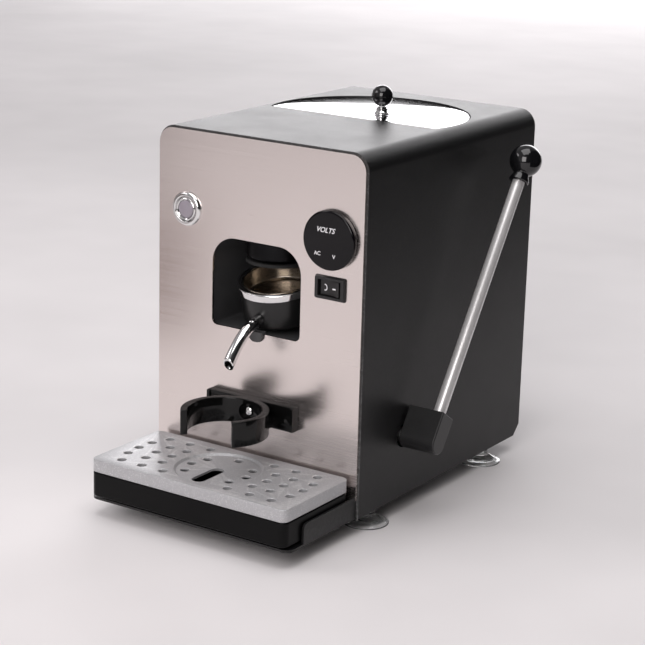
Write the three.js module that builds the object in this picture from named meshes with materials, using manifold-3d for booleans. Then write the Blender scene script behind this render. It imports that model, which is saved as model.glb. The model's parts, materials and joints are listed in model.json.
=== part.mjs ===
// A compact lever espresso machine for paper coffee pods, built as an assembly of separate pieces.
// Millimetres. +X is the machine's right side, +Y goes into the machine, +Z is up.
// While the pieces are made, y = 0 is the front face of the front panel and z = 0 the underside
// of the base. At the end the whole machine is set down with its feet on z = 0, centred on the origin.
import * as THREE from 'three';
import { mergeVertices } from 'three/addons/utils/BufferGeometryUtils.js';
import Module from 'manifold-3d';

const wasm = await Module();
wasm.setup();

// ---------------------------------------------------------------- driving dimensions

const GAP = 0.3; // between pieces that are fastened together or rest on each other
const RUNNING = 0.3; // round a shaft or pin that turns, and round a rod that slides
const SHEET = 1.5; // steel sheet

const ROUND = 24; // sides of a large round piece
const SMALL_ROUND = 12; // sides of a small round piece
const HEX = 6;
const THROUGH = 4; // how far a cutting tool stands out of what it cuts
const OVERLAP = 1; // how far the parts of one solid run into each other where they meet

const FEW_STEPS = 3; // in a small corner
const CORNER_STEPS = 6; // in a corner
const ARC_STEPS = 10; // in a half round
const WIDE_STEPS = 20; // in the lid's circle and the cup holder's ring

const COVER = {
  width: 156,
  height: 228,
  depth: 206,
  topRadius: 11.5,
  frontReturn: 6,
  rearReturn: 6,
  rearChamfer: 5,
  shaftClearance: 3, // round the lever's shaft where it comes out of the side
};

const PANEL = { sideInset: 1.2, topInset: 1.2, bottom: 12 };

const WINDOW = {
  centreX: -1,
  width: 67,
  bottom: 105.5,
  top: 163,
  topRadius: 17,
  bottomRadius: 4,
  notchX: 0.5,
  notchWidth: 10,
  notchDepth: 5.5,
  notchRadius: 4,
};

const CHAMBER = {
  margin: 1, // between the window's edge and the inside of the liner
  wall: 1.4,
  behindRing: 5.2, // from the filter ring to the liner's back
  bottomRadius: 2,
  noseReach: 2,
  armSlotWidth: 27,
  armSlotBelow: 9.5, // from the bottom of the cup, when it is closed
};

const FRAME = {
  front: 21,
  behindHinge: 18.9,
  top: 208,
  rearWindowWidth: 50,
  rearWindowTop: 204,
  rearWindowBottom: 62,
};

const BASE = { frontUpstand: 30, sideUpstand: 16 };

const BRACKET = { reach: 70, floorRadius: 6, flangeReach: 55, flangeHeight: 14, cornerRadius: 4 };

const BASIN = {
  sideClearance: 0.7, // to the bracket's flanges
  depth: 69,
  height: 15.8,
  lift: 1, // over the bracket, for the basin's moulded feet
  wall: 2,
  floor: 2,
  cornerRadius: 5,
  leastRadius: 1,
  backClearance: 3,
};

const GRID = {
  thickness: 2.6,
  skirt: 8.2,
  skirtWall: 2,
  dishRadius: 28,
  dishDepth: 1.2,
  holeRadius: 3.2,
  holeSides: 8,
  columns: [[36.5, 34.4, 24.5], [49, 47.6, 41], [63, 62, 57]], // x in the middle row, the next and the last
  rows: [-2, -1, 0, 1, 2],
  rowPitch: 12.2,
  dishHoleShare: 0.75, // of the dish's radius
  dishHoleAngles: [-36, 0, 34, 90, 146, 180, 216],
  slotWidth: 9,
  slotLength: 27,
  slotOffset: 11,
};

const FOOT = {
  height: 11,
  cupRadius: 15,
  stemRadius: 6,
  neckRadius: 3,
  headRadius: 4.5,
  headHeight: 3,
  sideInset: 9,
  frontInset: 23.2,
  rearInset: 38.8,
  hollow: 2.6,
  hollowHalfway: 2.2,
  lipWidth: 1.2,
  lipHeight: 0.8,
  shoulderShare: 0.62,
  shoulderHeight: 4.4,
  domeHeight: 5.4,
  sides: 18,
};

const LEVER = {
  shaftBeforeRod: 5.7, // from the shaft to the push rod, along the machine
  pivotZ: 41,
  lean: THREE.MathUtils.degToRad(33.7), // from upright, towards the rear, where the lever rests
  sideClearance: 1,
  hubWidth: 25,
  hubThickness: 15,
  hubAbove: 18.5,
  rodInset: 7,
  rodRadius: 4,
  rodSink: 10,
  ballRadius: 10.5,
  ballHeight: 194.7,
  ballSides: 20,
  collarRadius: 6.6,
  collarTopRadius: 6.2,
  collarLength: 15,
  boreDepth: 11,
  shaftRadius: 5,
  shaftIntoHub: 18,
  shaftPastFrame: 6,
};

const BUSH = { wall: 2, flangeWidth: 2, flangeThickness: 2 };

const CAM = {
  lowRadius: 14,
  width: 8,
  stroke: THREE.MathUtils.degToRad(90),
  dwell: THREE.MathUtils.degToRad(20),
  sides: 32,
};

const PORTAFILTER = {
  openTilt: THREE.MathUtils.degToRad(13.5), // front end down, where it hangs open
  hingeZ: 147,
  hingeBehindRing: 16,
  ringWidth: 4,
  ringHeight: 5,
  ringEdge: 1,
  cupDepth: 25,
  cupWall: 1.8,
  cupFloor: 3,
  cupClearance: 0.6, // round the basket
  basketRadius: 23,
  basketSink: 0.6, // below the top of the ring
  basketDepth: 13,
  basketWall: 0.9,
  basketCorner: 1.5,
  armWidth: 20,
  armTop: -6,
  armBottom: -14,
  barrelRadius: 6.5,
  barrelWidth: 26,
  pinRadius: 3,
  pinPastFrame: 2,
};

const SPOUT = {
  outerRadius: 3.7,
  boreRadius: 2.5,
  drop: 17.7,
  reach: 36.5,
  fall: 13,
  route: [[0, 0], [0.12, 0], [0.38, 0.12], [0.66, 0.38], [0.88, 0.7], [1, 1]], // shares of the reach and fall
  sides: 12,
  steps: 14,
};

const PUSH_ROD = {
  radius: 3,
  clearance: 0.4,
  behindChamber: 1,
  endSteps: 3,
  guideHeight: 10,
  guideZ: 90,
  guideWidth: 16,
  guideWall: 3,
};

const GROUP = {
  insideBasket: 3, // the head and its seal are this much narrower than the basket
  frontClearance: 0.3,
  bottomClearance: 0.4,
  sealHeight: 2.4,
  sealWall: 3.4,
  screenThickness: 1,
  chamfer: 1.5,
  holeClearance: 3.2,
};

const BOILER = {
  width: 56,
  depth: 40,
  bottom: 170,
  height: 40,
  frontY: 5,
  edge: 3,
  groovePlaces: [0.3, 0.5, 0.7], // shares of the height
  grooveDepth: 1.5,
  grooveHeight: 2,
  portX: -16,
  portShare: 0.6,
};
const THERMOSTAT = { radius: 8, height: 5 };

const BUTTON = {
  x: -54.6,
  z: 176.6,
  bezelRadius: 11,
  bezelHeight: 2.4,
  bezelEdge: 0.6,
  bezelSlope: 1.8,
  capRadius: 7.6,
  capHeight: 2.2,
  capLength: 7,
  capEdge: 0.7,
  lensRadius: 5.6,
  lensProud: 0.5,
  lensDepth: 2.2,
  barrelRadius: 9.4,
  barrelLength: 24,
  barrelFloor: 3,
  nutRadius: 11.5,
  nutThickness: 3,
};

const GAUGE = {
  x: 54.1,
  z: 173.5,
  lensRadius: 18.4,
  lensProud: 4.2,
  lensWall: 0.9,
  lensEdge: 0.7,
  bodyRadius: 13.5,
  bodyLength: 17,
  nutRadius: 15.2,
  nutThickness: 3,
};

const ROCKER = {
  x: 54.3,
  z: 143.5,
  bezelWidth: 22.4,
  bezelHeight: 15,
  bezelProud: 2,
  bezelCorner: 1.2,
  bodyWidth: 19,
  bodyHeight: 12.6,
  bodyDepth: 17,
  openingWidth: 16.4,
  openingHeight: 10.2,
  openingDepth: 9,
  keyWidth: 14.6,
  keyHeight: 9.4,
  keyDepth: 5,
  keyProud: 1.2,
  keyHollow: 0.48,
  keyTaper: 0.86,
  tilt: THREE.MathUtils.degToRad(9), // either way from level
};

const CUP_HOLDER = {
  ringRadius: 27.4,
  ringWall: 4.4,
  centreY: -32,
  bottom: 48.3,
  height: 16,
  openHalfAngle: THREE.MathUtils.degToRad(46),
  plateWidth: 66,
  plateThickness: 5.5,
  gussetThickness: 2.2,
  gussetLift: 6, // over the bottom of the ring
  gussetReach: 27,
  gussetInset: 1.5,
  gussetFront: 4, // in front of which the web doesn't reach, from the ring's centre
  accessRadius: 5.6,
  screwZ: 56.3,
};
const CUP_SCREW = { headRadius: 3.2, headHeight: 2.2, shankRadius: 1.9, length: 14 };

const TANK = {
  radius: 66,
  centreY: 122,
  chordY: 101.5,
  bottom: 122,
  wall: 2,
  floor: 2.5,
  outletRadius: 5,
  outletWall: 1.8,
  outletLength: 8,
  outletOffset: 20, // behind the centre
};
const LID = { sideClearance: 0.7, thickness: 1.5, recess: 0.4 };
const KNOB = {
  x: 9,
  y: 124,
  ballRadius: 7.1,
  ballHeight: 12.2,
  ballSides: 18,
  neckRadius: 3.2,
  flatDepth: 0.7, // how much of the ball's underside is cut flat to sit on the neck
  footRadius: 5,
  footHeight: 2.6,
};

const SHELF = { footClearance: 3.5, behindChord: 2.5, rearInset: 2, outletClearance: 1 };

const PUMP = {
  x: -30,
  z: 30,
  coilWidth: 36,
  coilFront: 118,
  coilRear: 162,
  barrelRadius: 8.5,
  barrelFront: 100,
  barrelRear: 180,
  mountWidth: 24,
  mountThickness: 5,
  mountFromEnd: 8,
  mountAbove: 4,
};

const HOSE = { radius: 3.2, sides: 8, steps: 28 };

const BOARD = {
  leftX: 12,
  rightX: 56,
  frontY: 112,
  rearY: 178,
  standoff: 7,
  thickness: 1.6,
  postRadius: 3,
  postInset: 5,
};
const RELAY = { width: 16, depth: 20, height: 16 };

const INLET = {
  x: 45,
  z: 34,
  flangeRadius: 11,
  flangeHeight: 2.5,
  barrelRadius: 8,
  length: 20,
  socketRadius: 4,
  socketDepth: 12,
};
const VENT = { count: 6, width: 60, height: 3, pitch: 9, bottom: 150, x: 0 };
const REAR_SCREW = { headRadius: 3, headHeight: 1.6, shankRadius: 1.5, length: 6, inset: 4 };

// ---------------------------------------------------------------- places worked out from them

const coverFront = SHEET + GAP; // the front panel lies in front of the cover
const coverRear = coverFront + COVER.depth;
const innerHalfWidth = COVER.width / 2 - SHEET;
const chassisHalfWidth = innerHalfWidth - GAP;
const rearPanelBack = coverRear - SHEET - GAP;
const lidTop = COVER.height - LID.recess;
const tankTop = lidTop - LID.thickness - GAP;
const knobCentre = lidTop + KNOB.ballHeight;
const knobSeat = knobCentre - KNOB.ballRadius + KNOB.flatDepth;
const outletY = TANK.centreY + TANK.outletOffset;
const footX = COVER.width / 2 - FOOT.sideInset;
const basinHalfWidth = chassisHalfWidth - SHEET - BASIN.sideClearance;
const basinBottom = SHEET + GAP + BASIN.lift;
const basinTop = basinBottom + BASIN.height;
const basinCentreY = -BASIN.backClearance - BASIN.depth / 2;
const cupRadius = PORTAFILTER.basketRadius + PORTAFILTER.cupClearance + PORTAFILTER.cupWall;
const ringRadius = PORTAFILTER.basketRadius + PORTAFILTER.ringWidth;
const armLength = ringRadius + PORTAFILTER.hingeBehindRing;
const groupRadius = PORTAFILTER.basketRadius - GROUP.insideBasket;
const basketY = coverFront + groupRadius + GROUP.frontClearance;
const hingeY = basketY + armLength;
const chamberLeft = WINDOW.centreX - WINDOW.width / 2 - CHAMBER.margin;
const chamberRight = WINDOW.centreX + WINDOW.width / 2 + CHAMBER.margin;
const chamberBottom = WINDOW.bottom - CHAMBER.margin;
const chamberTop = WINDOW.top + CHAMBER.margin;
const chamberBack = basketY + ringRadius + CHAMBER.behindRing;
const frameHalfWidth = Math.max(-chamberLeft, chamberRight) + CHAMBER.wall + 2 * GAP + SHEET;
const frameRear = hingeY + FRAME.behindHinge;
const rodY = chamberBack + PUSH_ROD.radius + PUSH_ROD.behindChamber;
const shaftY = rodY - LEVER.shaftBeforeRod;
const groupBottom = PORTAFILTER.hingeZ + GROUP.bottomClearance + GROUP.sealHeight;
const screenRadius = groupRadius - GROUP.sealWall - GAP;
const camReach = CAM.lowRadius + PUSH_ROD.clearance + PUSH_ROD.radius;
const rodFootZ = LEVER.pivotZ + Math.sqrt(camReach ** 2 - LEVER.shaftBeforeRod ** 2);
const rodAngle = Math.atan2(rodFootZ - LEVER.pivotZ, LEVER.shaftBeforeRod);
const armDrop = (hingeY - rodY) * Math.tan(PORTAFILTER.openTilt);
const rodRoom = PUSH_ROD.radius + PUSH_ROD.clearance;
const rodTopClosed = PORTAFILTER.hingeZ + PORTAFILTER.armBottom - rodRoom;
const rodTopDrop = (rodRoom - PORTAFILTER.armBottom) / Math.cos(PORTAFILTER.openTilt);
const rodTopZ = PORTAFILTER.hingeZ - armDrop - rodTopDrop;
const rodRise = rodTopClosed - rodTopZ;

// ---------------------------------------------------------------- finishes

function finish(color, roughness, metalness) {
  return new THREE.MeshStandardMaterial({ color, roughness, metalness });
}

const FINISH = {
  powderCoat: finish(0x1b1b1d, 0.6, 0.2),
  brushedSteel: finish(0xc9bfb9, 0.32, 1),
  steel: finish(0xb8b8ba, 0.3, 1),
  chrome: finish(0xdadadc, 0.08, 1),
  blackPlastic: finish(0x151517, 0.42, 0),
  glossBlack: finish(0x08080a, 0.08, 0),
  silverPlastic: finish(0xb9babd, 0.45, 0.5),
  clearRubber: finish(0xc9cdcd, 0.2, 0),
  blackRubber: finish(0x18181a, 0.8, 0),
  lensGrey: finish(0x857a8c, 0.25, 0),
  darkLens: finish(0x0b0b0e, 0.05, 0),
  brass: finish(0xb5924c, 0.35, 1),
  aluminium: finish(0xa6a8ab, 0.45, 1),
  darkMetal: finish(0x3b3b3e, 0.4, 0.9),
  tankPlastic: finish(0xd8dde0, 0.3, 0),
  hoseWhite: finish(0xe4e4e0, 0.5, 0),
  boardGreen: finish(0x2c5a3c, 0.6, 0),
};

// ---------------------------------------------------------------- making solids

function toSolid(geometry) {
  const bare = geometry.clone();
  bare.deleteAttribute('normal');
  bare.deleteAttribute('uv');
  const merged = mergeVertices(bare, 1e-4);
  const vertProperties = new Float32Array(merged.attributes.position.array);
  const triVerts = new Uint32Array(merged.index.array);
  return new wasm.Manifold(new wasm.Mesh({ numProp: 3, vertProperties, triVerts }));
}

function toGeometry(solid) {
  const mesh = solid.getMesh();
  const geometry = new THREE.BufferGeometry();
  geometry.setAttribute('position', new THREE.BufferAttribute(new Float32Array(mesh.vertProperties), 3));
  geometry.setIndex(new THREE.BufferAttribute(new Uint32Array(mesh.triVerts), 1));
  return geometry;
}

function join(...geometries) {
  return toGeometry(geometries.map(toSolid).reduce((all, next) => all.add(next)));
}

function cut(geometry, ...tools) {
  return toGeometry(tools.map(toSolid).reduce((left, tool) => left.subtract(tool), toSolid(geometry)));
}

function box(x0, x1, y0, y1, z0, z1) {
  const geometry = new THREE.BoxGeometry(x1 - x0, y1 - y0, z1 - z0);
  return geometry.translate((x0 + x1) / 2, (y0 + y1) / 2, (z0 + z1) / 2);
}

// A round bar along Z, Y or X from one end to the other, centred on the two other coordinates.
function barZ(x, y, z0, z1, radius, sides = SMALL_ROUND) {
  const geometry = new THREE.CylinderGeometry(radius, radius, z1 - z0, sides);
  return geometry.rotateX(Math.PI / 2).translate(x, y, (z0 + z1) / 2);
}

function barY(x, z, y0, y1, radius, sides = SMALL_ROUND) {
  return new THREE.CylinderGeometry(radius, radius, y1 - y0, sides).translate(x, (y0 + y1) / 2, z);
}

function barX(y, z, x0, x1, radius, sides = SMALL_ROUND) {
  const geometry = new THREE.CylinderGeometry(radius, radius, x1 - x0, sides);
  return geometry.rotateZ(Math.PI / 2).translate((x0 + x1) / 2, y, z);
}

// A flat outline in X and Y raised along Z. Points where two runs of the outline meet are kept once.
function prismZ(shape, z0, z1, curveSegments = CORNER_STEPS) {
  const points = shape.getPoints(curveSegments);
  const outline = points.filter((point, index) => point.distanceTo(points.at(index - 1)) > 1e-4);
  const options = { depth: z1 - z0, bevelEnabled: false };
  return new THREE.ExtrudeGeometry(new THREE.Shape(outline), options).translate(0, 0, z0);
}

// A flat outline in X and Z carried along Y.
function prismY(shape, y0, y1, curveSegments = CORNER_STEPS) {
  return prismZ(shape, -y1, -y0, curveSegments).rotateX(Math.PI / 2);
}

// A flat outline in Y and Z carried along X.
function prismX(shape, x0, x1, curveSegments = CORNER_STEPS) {
  const turn = new THREE.Matrix4().makeBasis(
    new THREE.Vector3(0, 1, 0),
    new THREE.Vector3(0, 0, 1),
    new THREE.Vector3(1, 0, 0),
  );
  return prismZ(shape, x0, x1, curveSegments).applyMatrix4(turn);
}

// A rectangle whose corners each have their own radius, from the bottom left one anticlockwise.
function roundedRectangle(x0, x1, y0, y1, [bottomLeft, bottomRight, topRight, topLeft]) {
  const shape = new THREE.Shape();
  shape.moveTo(x0 + bottomLeft, y0);
  shape.lineTo(x1 - bottomRight, y0);
  if (bottomRight) shape.absarc(x1 - bottomRight, y0 + bottomRight, bottomRight, -Math.PI / 2, 0);
  shape.lineTo(x1, y1 - topRight);
  if (topRight) shape.absarc(x1 - topRight, y1 - topRight, topRight, 0, Math.PI / 2);
  shape.lineTo(x0 + topLeft, y1);
  if (topLeft) shape.absarc(x0 + topLeft, y1 - topLeft, topLeft, Math.PI / 2, Math.PI);
  shape.lineTo(x0, y0 + bottomLeft);
  if (bottomLeft) shape.absarc(x0 + bottomLeft, y0 + bottomLeft, bottomLeft, Math.PI, Math.PI * 1.5);
  return shape;
}

function evenCorners(radius) {
  return [radius, radius, radius, radius];
}

// A round piece turned about an upright axis at (x, y); the profile lists [radius, height] pairs.
function turned(profile, sides = ROUND, x = 0, y = 0) {
  const points = profile.map(([radius, height]) => new THREE.Vector2(radius, height));
  return new THREE.LatheGeometry(points, sides).rotateX(Math.PI / 2).translate(x, y, 0);
}

// The same, about an axis that points out of the front panel; heights are how far it stands proud.
function turnedForward(profile, sides, x, z) {
  const points = profile.map(([radius, proud]) => new THREE.Vector2(radius, -proud)).reverse();
  return new THREE.LatheGeometry(points, sides).translate(x, 0, z);
}

// The arc of a ball from the angle where something joins it up to its top, as profile points.
function ballArc(radius, centreHeight, fromAngle, steps) {
  return Array.from({ length: steps + 1 }, (_, step) => {
    const angle = fromAngle + (Math.PI / 2 - fromAngle) * (step / steps);
    return [step === steps ? 0 : radius * Math.cos(angle), centreHeight + radius * Math.sin(angle)];
  });
}

function route(places) {
  return places.map((place) => new THREE.Vector3(...place));
}

// The same route with both ends carried straight on.
function carriedOn(points, distance) {
  const before = points[0].clone().sub(points[1]).setLength(distance).add(points[0]);
  const after = points.at(-1).clone().sub(points.at(-2)).setLength(distance).add(points.at(-1));
  return [before, ...points, after];
}

function tube(points, radius, sides, steps) {
  const section = new THREE.Shape();
  section.absarc(0, 0, radius, 0, Math.PI * 2);
  const extrudePath = new THREE.CatmullRomCurve3(points);
  const curveSegments = Math.round(sides / 2); // the circle is made of two half rounds
  return new THREE.ExtrudeGeometry(section, { steps, curveSegments, extrudePath, bevelEnabled: false });
}

// ---------------------------------------------------------------- the assembly

const machine = new THREE.Group();

function add(name, geometry, material, parent = machine) {
  const mesh = new THREE.Mesh(geometry, material);
  mesh.name = name;
  parent.add(mesh);
}

// ---- chassis and shell

function coverOutline(inset) {
  const half = COVER.width / 2 - inset;
  const radius = COVER.topRadius - inset;
  return roundedRectangle(-half, half, 0, COVER.height - inset, [0, 0, radius, radius]);
}

// The lid's opening and everything under it: a circle with its front cut off straight.
function tankOutline(clearance) {
  const radius = TANK.radius + clearance;
  const chord = TANK.chordY - clearance;
  const half = Math.asin((TANK.centreY - chord) / radius);
  const shape = new THREE.Shape();
  shape.absarc(0, TANK.centreY, radius, -half, Math.PI + half);
  shape.closePath();
  return shape;
}

function cover() {
  const inner = COVER.frontReturn;
  const shell = cut(
    prismY(coverOutline(0), coverFront, coverRear),
    prismY(coverOutline(SHEET), coverFront + SHEET, coverRear - SHEET),
    prismY(coverOutline(inner), coverFront - THROUGH, coverRear - SHEET - THROUGH),
    prismY(coverOutline(COVER.rearReturn), coverRear - SHEET - THROUGH, coverRear + THROUGH),
    box(-innerHalfWidth, innerHalfWidth, coverFront - THROUGH, coverRear + THROUGH, -THROUGH, SHEET),
  );
  const underTop = COVER.height - SHEET - THROUGH;
  const opening = prismZ(tankOutline(LID.sideClearance), underTop, COVER.height + THROUGH, WIDE_STEPS);
  const side = COVER.width / 2;
  const holeRadius = LEVER.shaftRadius + COVER.shaftClearance;
  const shaftHole = barX(shaftY, LEVER.pivotZ, side - THROUGH, side + THROUGH, holeRadius);
  const corner = COVER.rearChamfer;
  const chamfer = box(-COVER.width, COVER.width, -corner, corner, -corner, corner);
  chamfer.rotateX(Math.PI / 4).translate(0, coverRear, 0);
  return cut(shell, opening, shaftHole, chamfer);
}

function windowOutline() {
  const { centreX, width, bottom, top, topRadius, bottomRadius } = WINDOW;
  const corners = [bottomRadius, bottomRadius, topRadius, topRadius];
  return roundedRectangle(centreX - width / 2, centreX + width / 2, bottom, top, corners);
}

function notchOutline(clearance) {
  const half = WINDOW.notchWidth / 2 - clearance;
  const low = WINDOW.bottom - WINDOW.notchDepth + clearance;
  const high = WINDOW.bottom + OVERLAP;
  const corner = WINDOW.notchRadius - clearance;
  return roundedRectangle(WINDOW.notchX - half, WINDOW.notchX + half, low, high, [corner, corner, 0, 0]);
}

function frontPanel() {
  const half = COVER.width / 2 - PANEL.sideInset;
  const radius = COVER.topRadius - PANEL.sideInset;
  const top = COVER.height - PANEL.topInset;
  const outline = roundedRectangle(-half, half, PANEL.bottom, top, [0, 0, radius, radius]);
  const rockerHalf = ROCKER.bodyWidth / 2 + GAP;
  const rockerRise = ROCKER.bodyHeight / 2 + GAP;
  const [rockerLeft, rockerRight] = [ROCKER.x - rockerHalf, ROCKER.x + rockerHalf];
  return cut(
    prismY(outline, 0, SHEET),
    prismY(windowOutline(), -THROUGH, SHEET + THROUGH),
    prismY(notchOutline(0), -THROUGH, SHEET + THROUGH),
    barY(BUTTON.x, BUTTON.z, -THROUGH, SHEET + THROUGH, BUTTON.barrelRadius + GAP, ROUND),
    barY(GAUGE.x, GAUGE.z, -THROUGH, SHEET + THROUGH, GAUGE.bodyRadius + GAP, ROUND),
    box(rockerLeft, rockerRight, -THROUGH, SHEET + THROUGH, ROCKER.z - rockerRise, ROCKER.z + rockerRise),
    barY(0, CUP_HOLDER.screwZ, -THROUGH, SHEET + THROUGH, CUP_SCREW.shankRadius + GAP),
  );
}

const screwX = innerHalfWidth - COVER.rearReturn - REAR_SCREW.inset;
const screwLow = BASE.sideUpstand + REAR_SCREW.inset;
const screwHigh = COVER.height - COVER.rearReturn - REAR_SCREW.inset - COVER.topRadius / 2;
const screwPlaces = [[-screwX, screwLow], [-screwX, screwHigh], [screwX, screwLow], [screwX, screwHigh]];

function rearPanel() {
  const half = chassisHalfWidth;
  const corner = COVER.topRadius;
  const top = COVER.height - SHEET - GAP;
  const outline = roundedRectangle(-half, half, SHEET + GAP, top, [0, 0, corner, corner]);
  const vents = Array.from({ length: VENT.count }, (_, row) => {
    const low = VENT.bottom + row * VENT.pitch;
    return box(VENT.x - VENT.width / 2, VENT.x + VENT.width / 2, 0, coverRear, low, low + VENT.height);
  });
  const holes = screwPlaces.map(([x, z]) => barY(x, z, 0, coverRear, REAR_SCREW.shankRadius + GAP));
  const inletHole = barY(INLET.x, INLET.z, 0, coverRear, INLET.barrelRadius + GAP);
  return cut(prismY(outline, rearPanelBack - SHEET, rearPanelBack), inletHole, ...vents, ...holes);
}

const footPlaces = [
  ['front_left', -footX, coverFront + FOOT.frontInset],
  ['front_right', footX, coverFront + FOOT.frontInset],
  ['rear_left', -footX, coverRear - FOOT.rearInset],
  ['rear_right', footX, coverRear - FOOT.rearInset],
];

function basePlate() {
  const half = chassisHalfWidth;
  const front = coverFront + SHEET + GAP;
  const rear = rearPanelBack - SHEET - GAP;
  const plate = join(
    box(-half, half, front, rear, 0, SHEET),
    box(-half, half, front, front + SHEET, 0, BASE.frontUpstand),
    box(-half, -half + SHEET, front, rear, 0, BASE.sideUpstand),
    box(half - SHEET, half, front, rear, 0, BASE.sideUpstand),
  );
  const holes = footPlaces.map(([, x, y]) => barZ(x, y, -THROUGH, SHEET + THROUGH, FOOT.neckRadius + GAP));
  return cut(plate, ...holes);
}

function trayBracket() {
  const half = chassisHalfWidth;
  const low = PANEL.bottom - GAP;
  const { floorRadius } = BRACKET;
  const floorOutline = roundedRectangle(-half, half, -BRACKET.reach, SHEET, [floorRadius, floorRadius, 0, 0]);
  const floor = prismZ(floorOutline, 0, SHEET);
  const upstand = box(-half, half, 0, SHEET, 0, low);
  const { flangeReach, flangeHeight, cornerRadius } = BRACKET;
  const flange = roundedRectangle(-flangeReach, SHEET, 0, flangeHeight, [0, 0, 0, cornerRadius]);
  const clearPanel = box(-half - THROUGH, half + THROUGH, -GAP, THROUGH, low, low + THROUGH);
  const flanges = [prismX(flange, -half, -half + SHEET), prismX(flange, half - SHEET, half)];
  return cut(join(floor, upstand, ...flanges), clearPanel);
}

add('cover', cover(), FINISH.powderCoat);
add('front_panel', frontPanel(), FINISH.brushedSteel);
add('rear_panel', rearPanel(), FINISH.powderCoat);
add('base_plate', basePlate(), FINISH.powderCoat);
add('tray_bracket', trayBracket(), FINISH.powderCoat);

screwPlaces.forEach(([x, z], index) => {
  const { headRadius, headHeight, shankRadius, length } = REAR_SCREW;
  const seat = rearPanelBack + GAP;
  const head = barY(x, z, seat, seat + headHeight, headRadius);
  const shank = barY(x, z, seat - length, seat + headHeight / 2, shankRadius);
  add(`rear_screw_${index + 1}`, join(head, shank), FINISH.steel);
});

// ---- feet

function suctionFoot(x, y) {
  const { height, hollow, hollowHalfway, lipWidth, lipHeight } = FOOT;
  const { shoulderShare, shoulderHeight, domeHeight } = FOOT;
  const { cupRadius: radius, stemRadius, neckRadius, headRadius, headHeight } = FOOT;
  const headBottom = SHEET + GAP;
  const profile = [
    [0, hollow - height],
    [radius / 2, hollowHalfway - height],
    [radius - lipWidth, -height],
    [radius, -height],
    [radius, lipHeight - height],
    [radius * shoulderShare, shoulderHeight - height],
    [stemRadius, domeHeight - height],
    [stemRadius, -GAP],
    [neckRadius, -GAP],
    [neckRadius, headBottom],
    [headRadius, headBottom],
    [neckRadius, headBottom + headHeight],
    [0, headBottom + headHeight],
  ];
  return turned(profile, FOOT.sides, x, y);
}

for (const [corner, x, y] of footPlaces) {
  add(`suction_foot_${corner}`, suctionFoot(x, y), FINISH.clearRubber);
}

// ---- drip tray

function trayOutline(inset) {
  const half = basinHalfWidth - inset;
  const deep = BASIN.depth / 2 - inset;
  const corner = Math.max(BASIN.cornerRadius - inset, BASIN.leastRadius);
  return roundedRectangle(-half, half, basinCentreY - deep, basinCentreY + deep, evenCorners(corner));
}

function dripBasin() {
  const hollow = prismZ(trayOutline(BASIN.wall), basinBottom + BASIN.floor, basinTop + THROUGH, FEW_STEPS);
  return cut(prismZ(trayOutline(0), basinBottom, basinTop, FEW_STEPS), hollow);
}

// Holes of the grid: bowed columns on each side of the dish, and a ring of them inside it.
function gridHoles() {
  const outside = GRID.columns.flatMap((column) => GRID.rows.flatMap((row) => {
    const x = column[Math.abs(row)];
    return [[-x, row * GRID.rowPitch], [x, row * GRID.rowPitch]];
  }));
  const circle = GRID.dishRadius * GRID.dishHoleShare;
  const inside = GRID.dishHoleAngles.map((degrees) => {
    const angle = THREE.MathUtils.degToRad(degrees);
    return [circle * Math.cos(angle), circle * Math.sin(angle)];
  });
  return [...outside, ...inside];
}

function dripGrid() {
  const bottom = basinTop + GAP;
  const top = bottom + GRID.skirt;
  const holes = gridHoles().map(([x, y]) => (
    barZ(x, basinCentreY + y, bottom - THROUGH, top + THROUGH, GRID.holeRadius, GRID.holeSides)
  ));
  const slotY = basinCentreY - GRID.slotOffset;
  const halfWidth = GRID.slotWidth / 2;
  const halfLength = GRID.slotLength / 2;
  const slot = roundedRectangle(
    -halfWidth, halfWidth, slotY - halfLength, slotY + halfLength, evenCorners(halfWidth - GAP),
  );
  return cut(
    prismZ(trayOutline(0), bottom, top, FEW_STEPS),
    prismZ(trayOutline(GRID.skirtWall), bottom - THROUGH, top - GRID.thickness, FEW_STEPS),
    barZ(0, basinCentreY, top - GRID.dishDepth, top + THROUGH, GRID.dishRadius, ROUND),
    prismZ(slot, bottom - THROUGH, top + THROUGH, FEW_STEPS),
    ...holes,
  );
}

add('drip_basin', dripBasin(), FINISH.blackPlastic);
add('drip_grid', dripGrid(), FINISH.silverPlastic);

// ---- cup holder

// The web between the ring and the plate, before the ring's bore is cut from it.
function holderWeb(plateFront) {
  const { ringRadius: ring, centreY, plateWidth, gussetReach, gussetInset, gussetFront } = CUP_HOLDER;
  const half = plateWidth / 2 - OVERLAP;
  const shape = new THREE.Shape();
  shape.moveTo(-half, plateFront + OVERLAP);
  shape.lineTo(-gussetReach, plateFront - OVERLAP);
  shape.lineTo(gussetInset - ring, centreY + gussetFront);
  shape.lineTo(ring - gussetInset, centreY + gussetFront);
  shape.lineTo(gussetReach, plateFront - OVERLAP);
  shape.lineTo(half, plateFront + OVERLAP);
  shape.closePath();
  const low = CUP_HOLDER.bottom + CUP_HOLDER.gussetLift;
  return prismZ(shape, low, low + CUP_HOLDER.gussetThickness);
}

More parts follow.
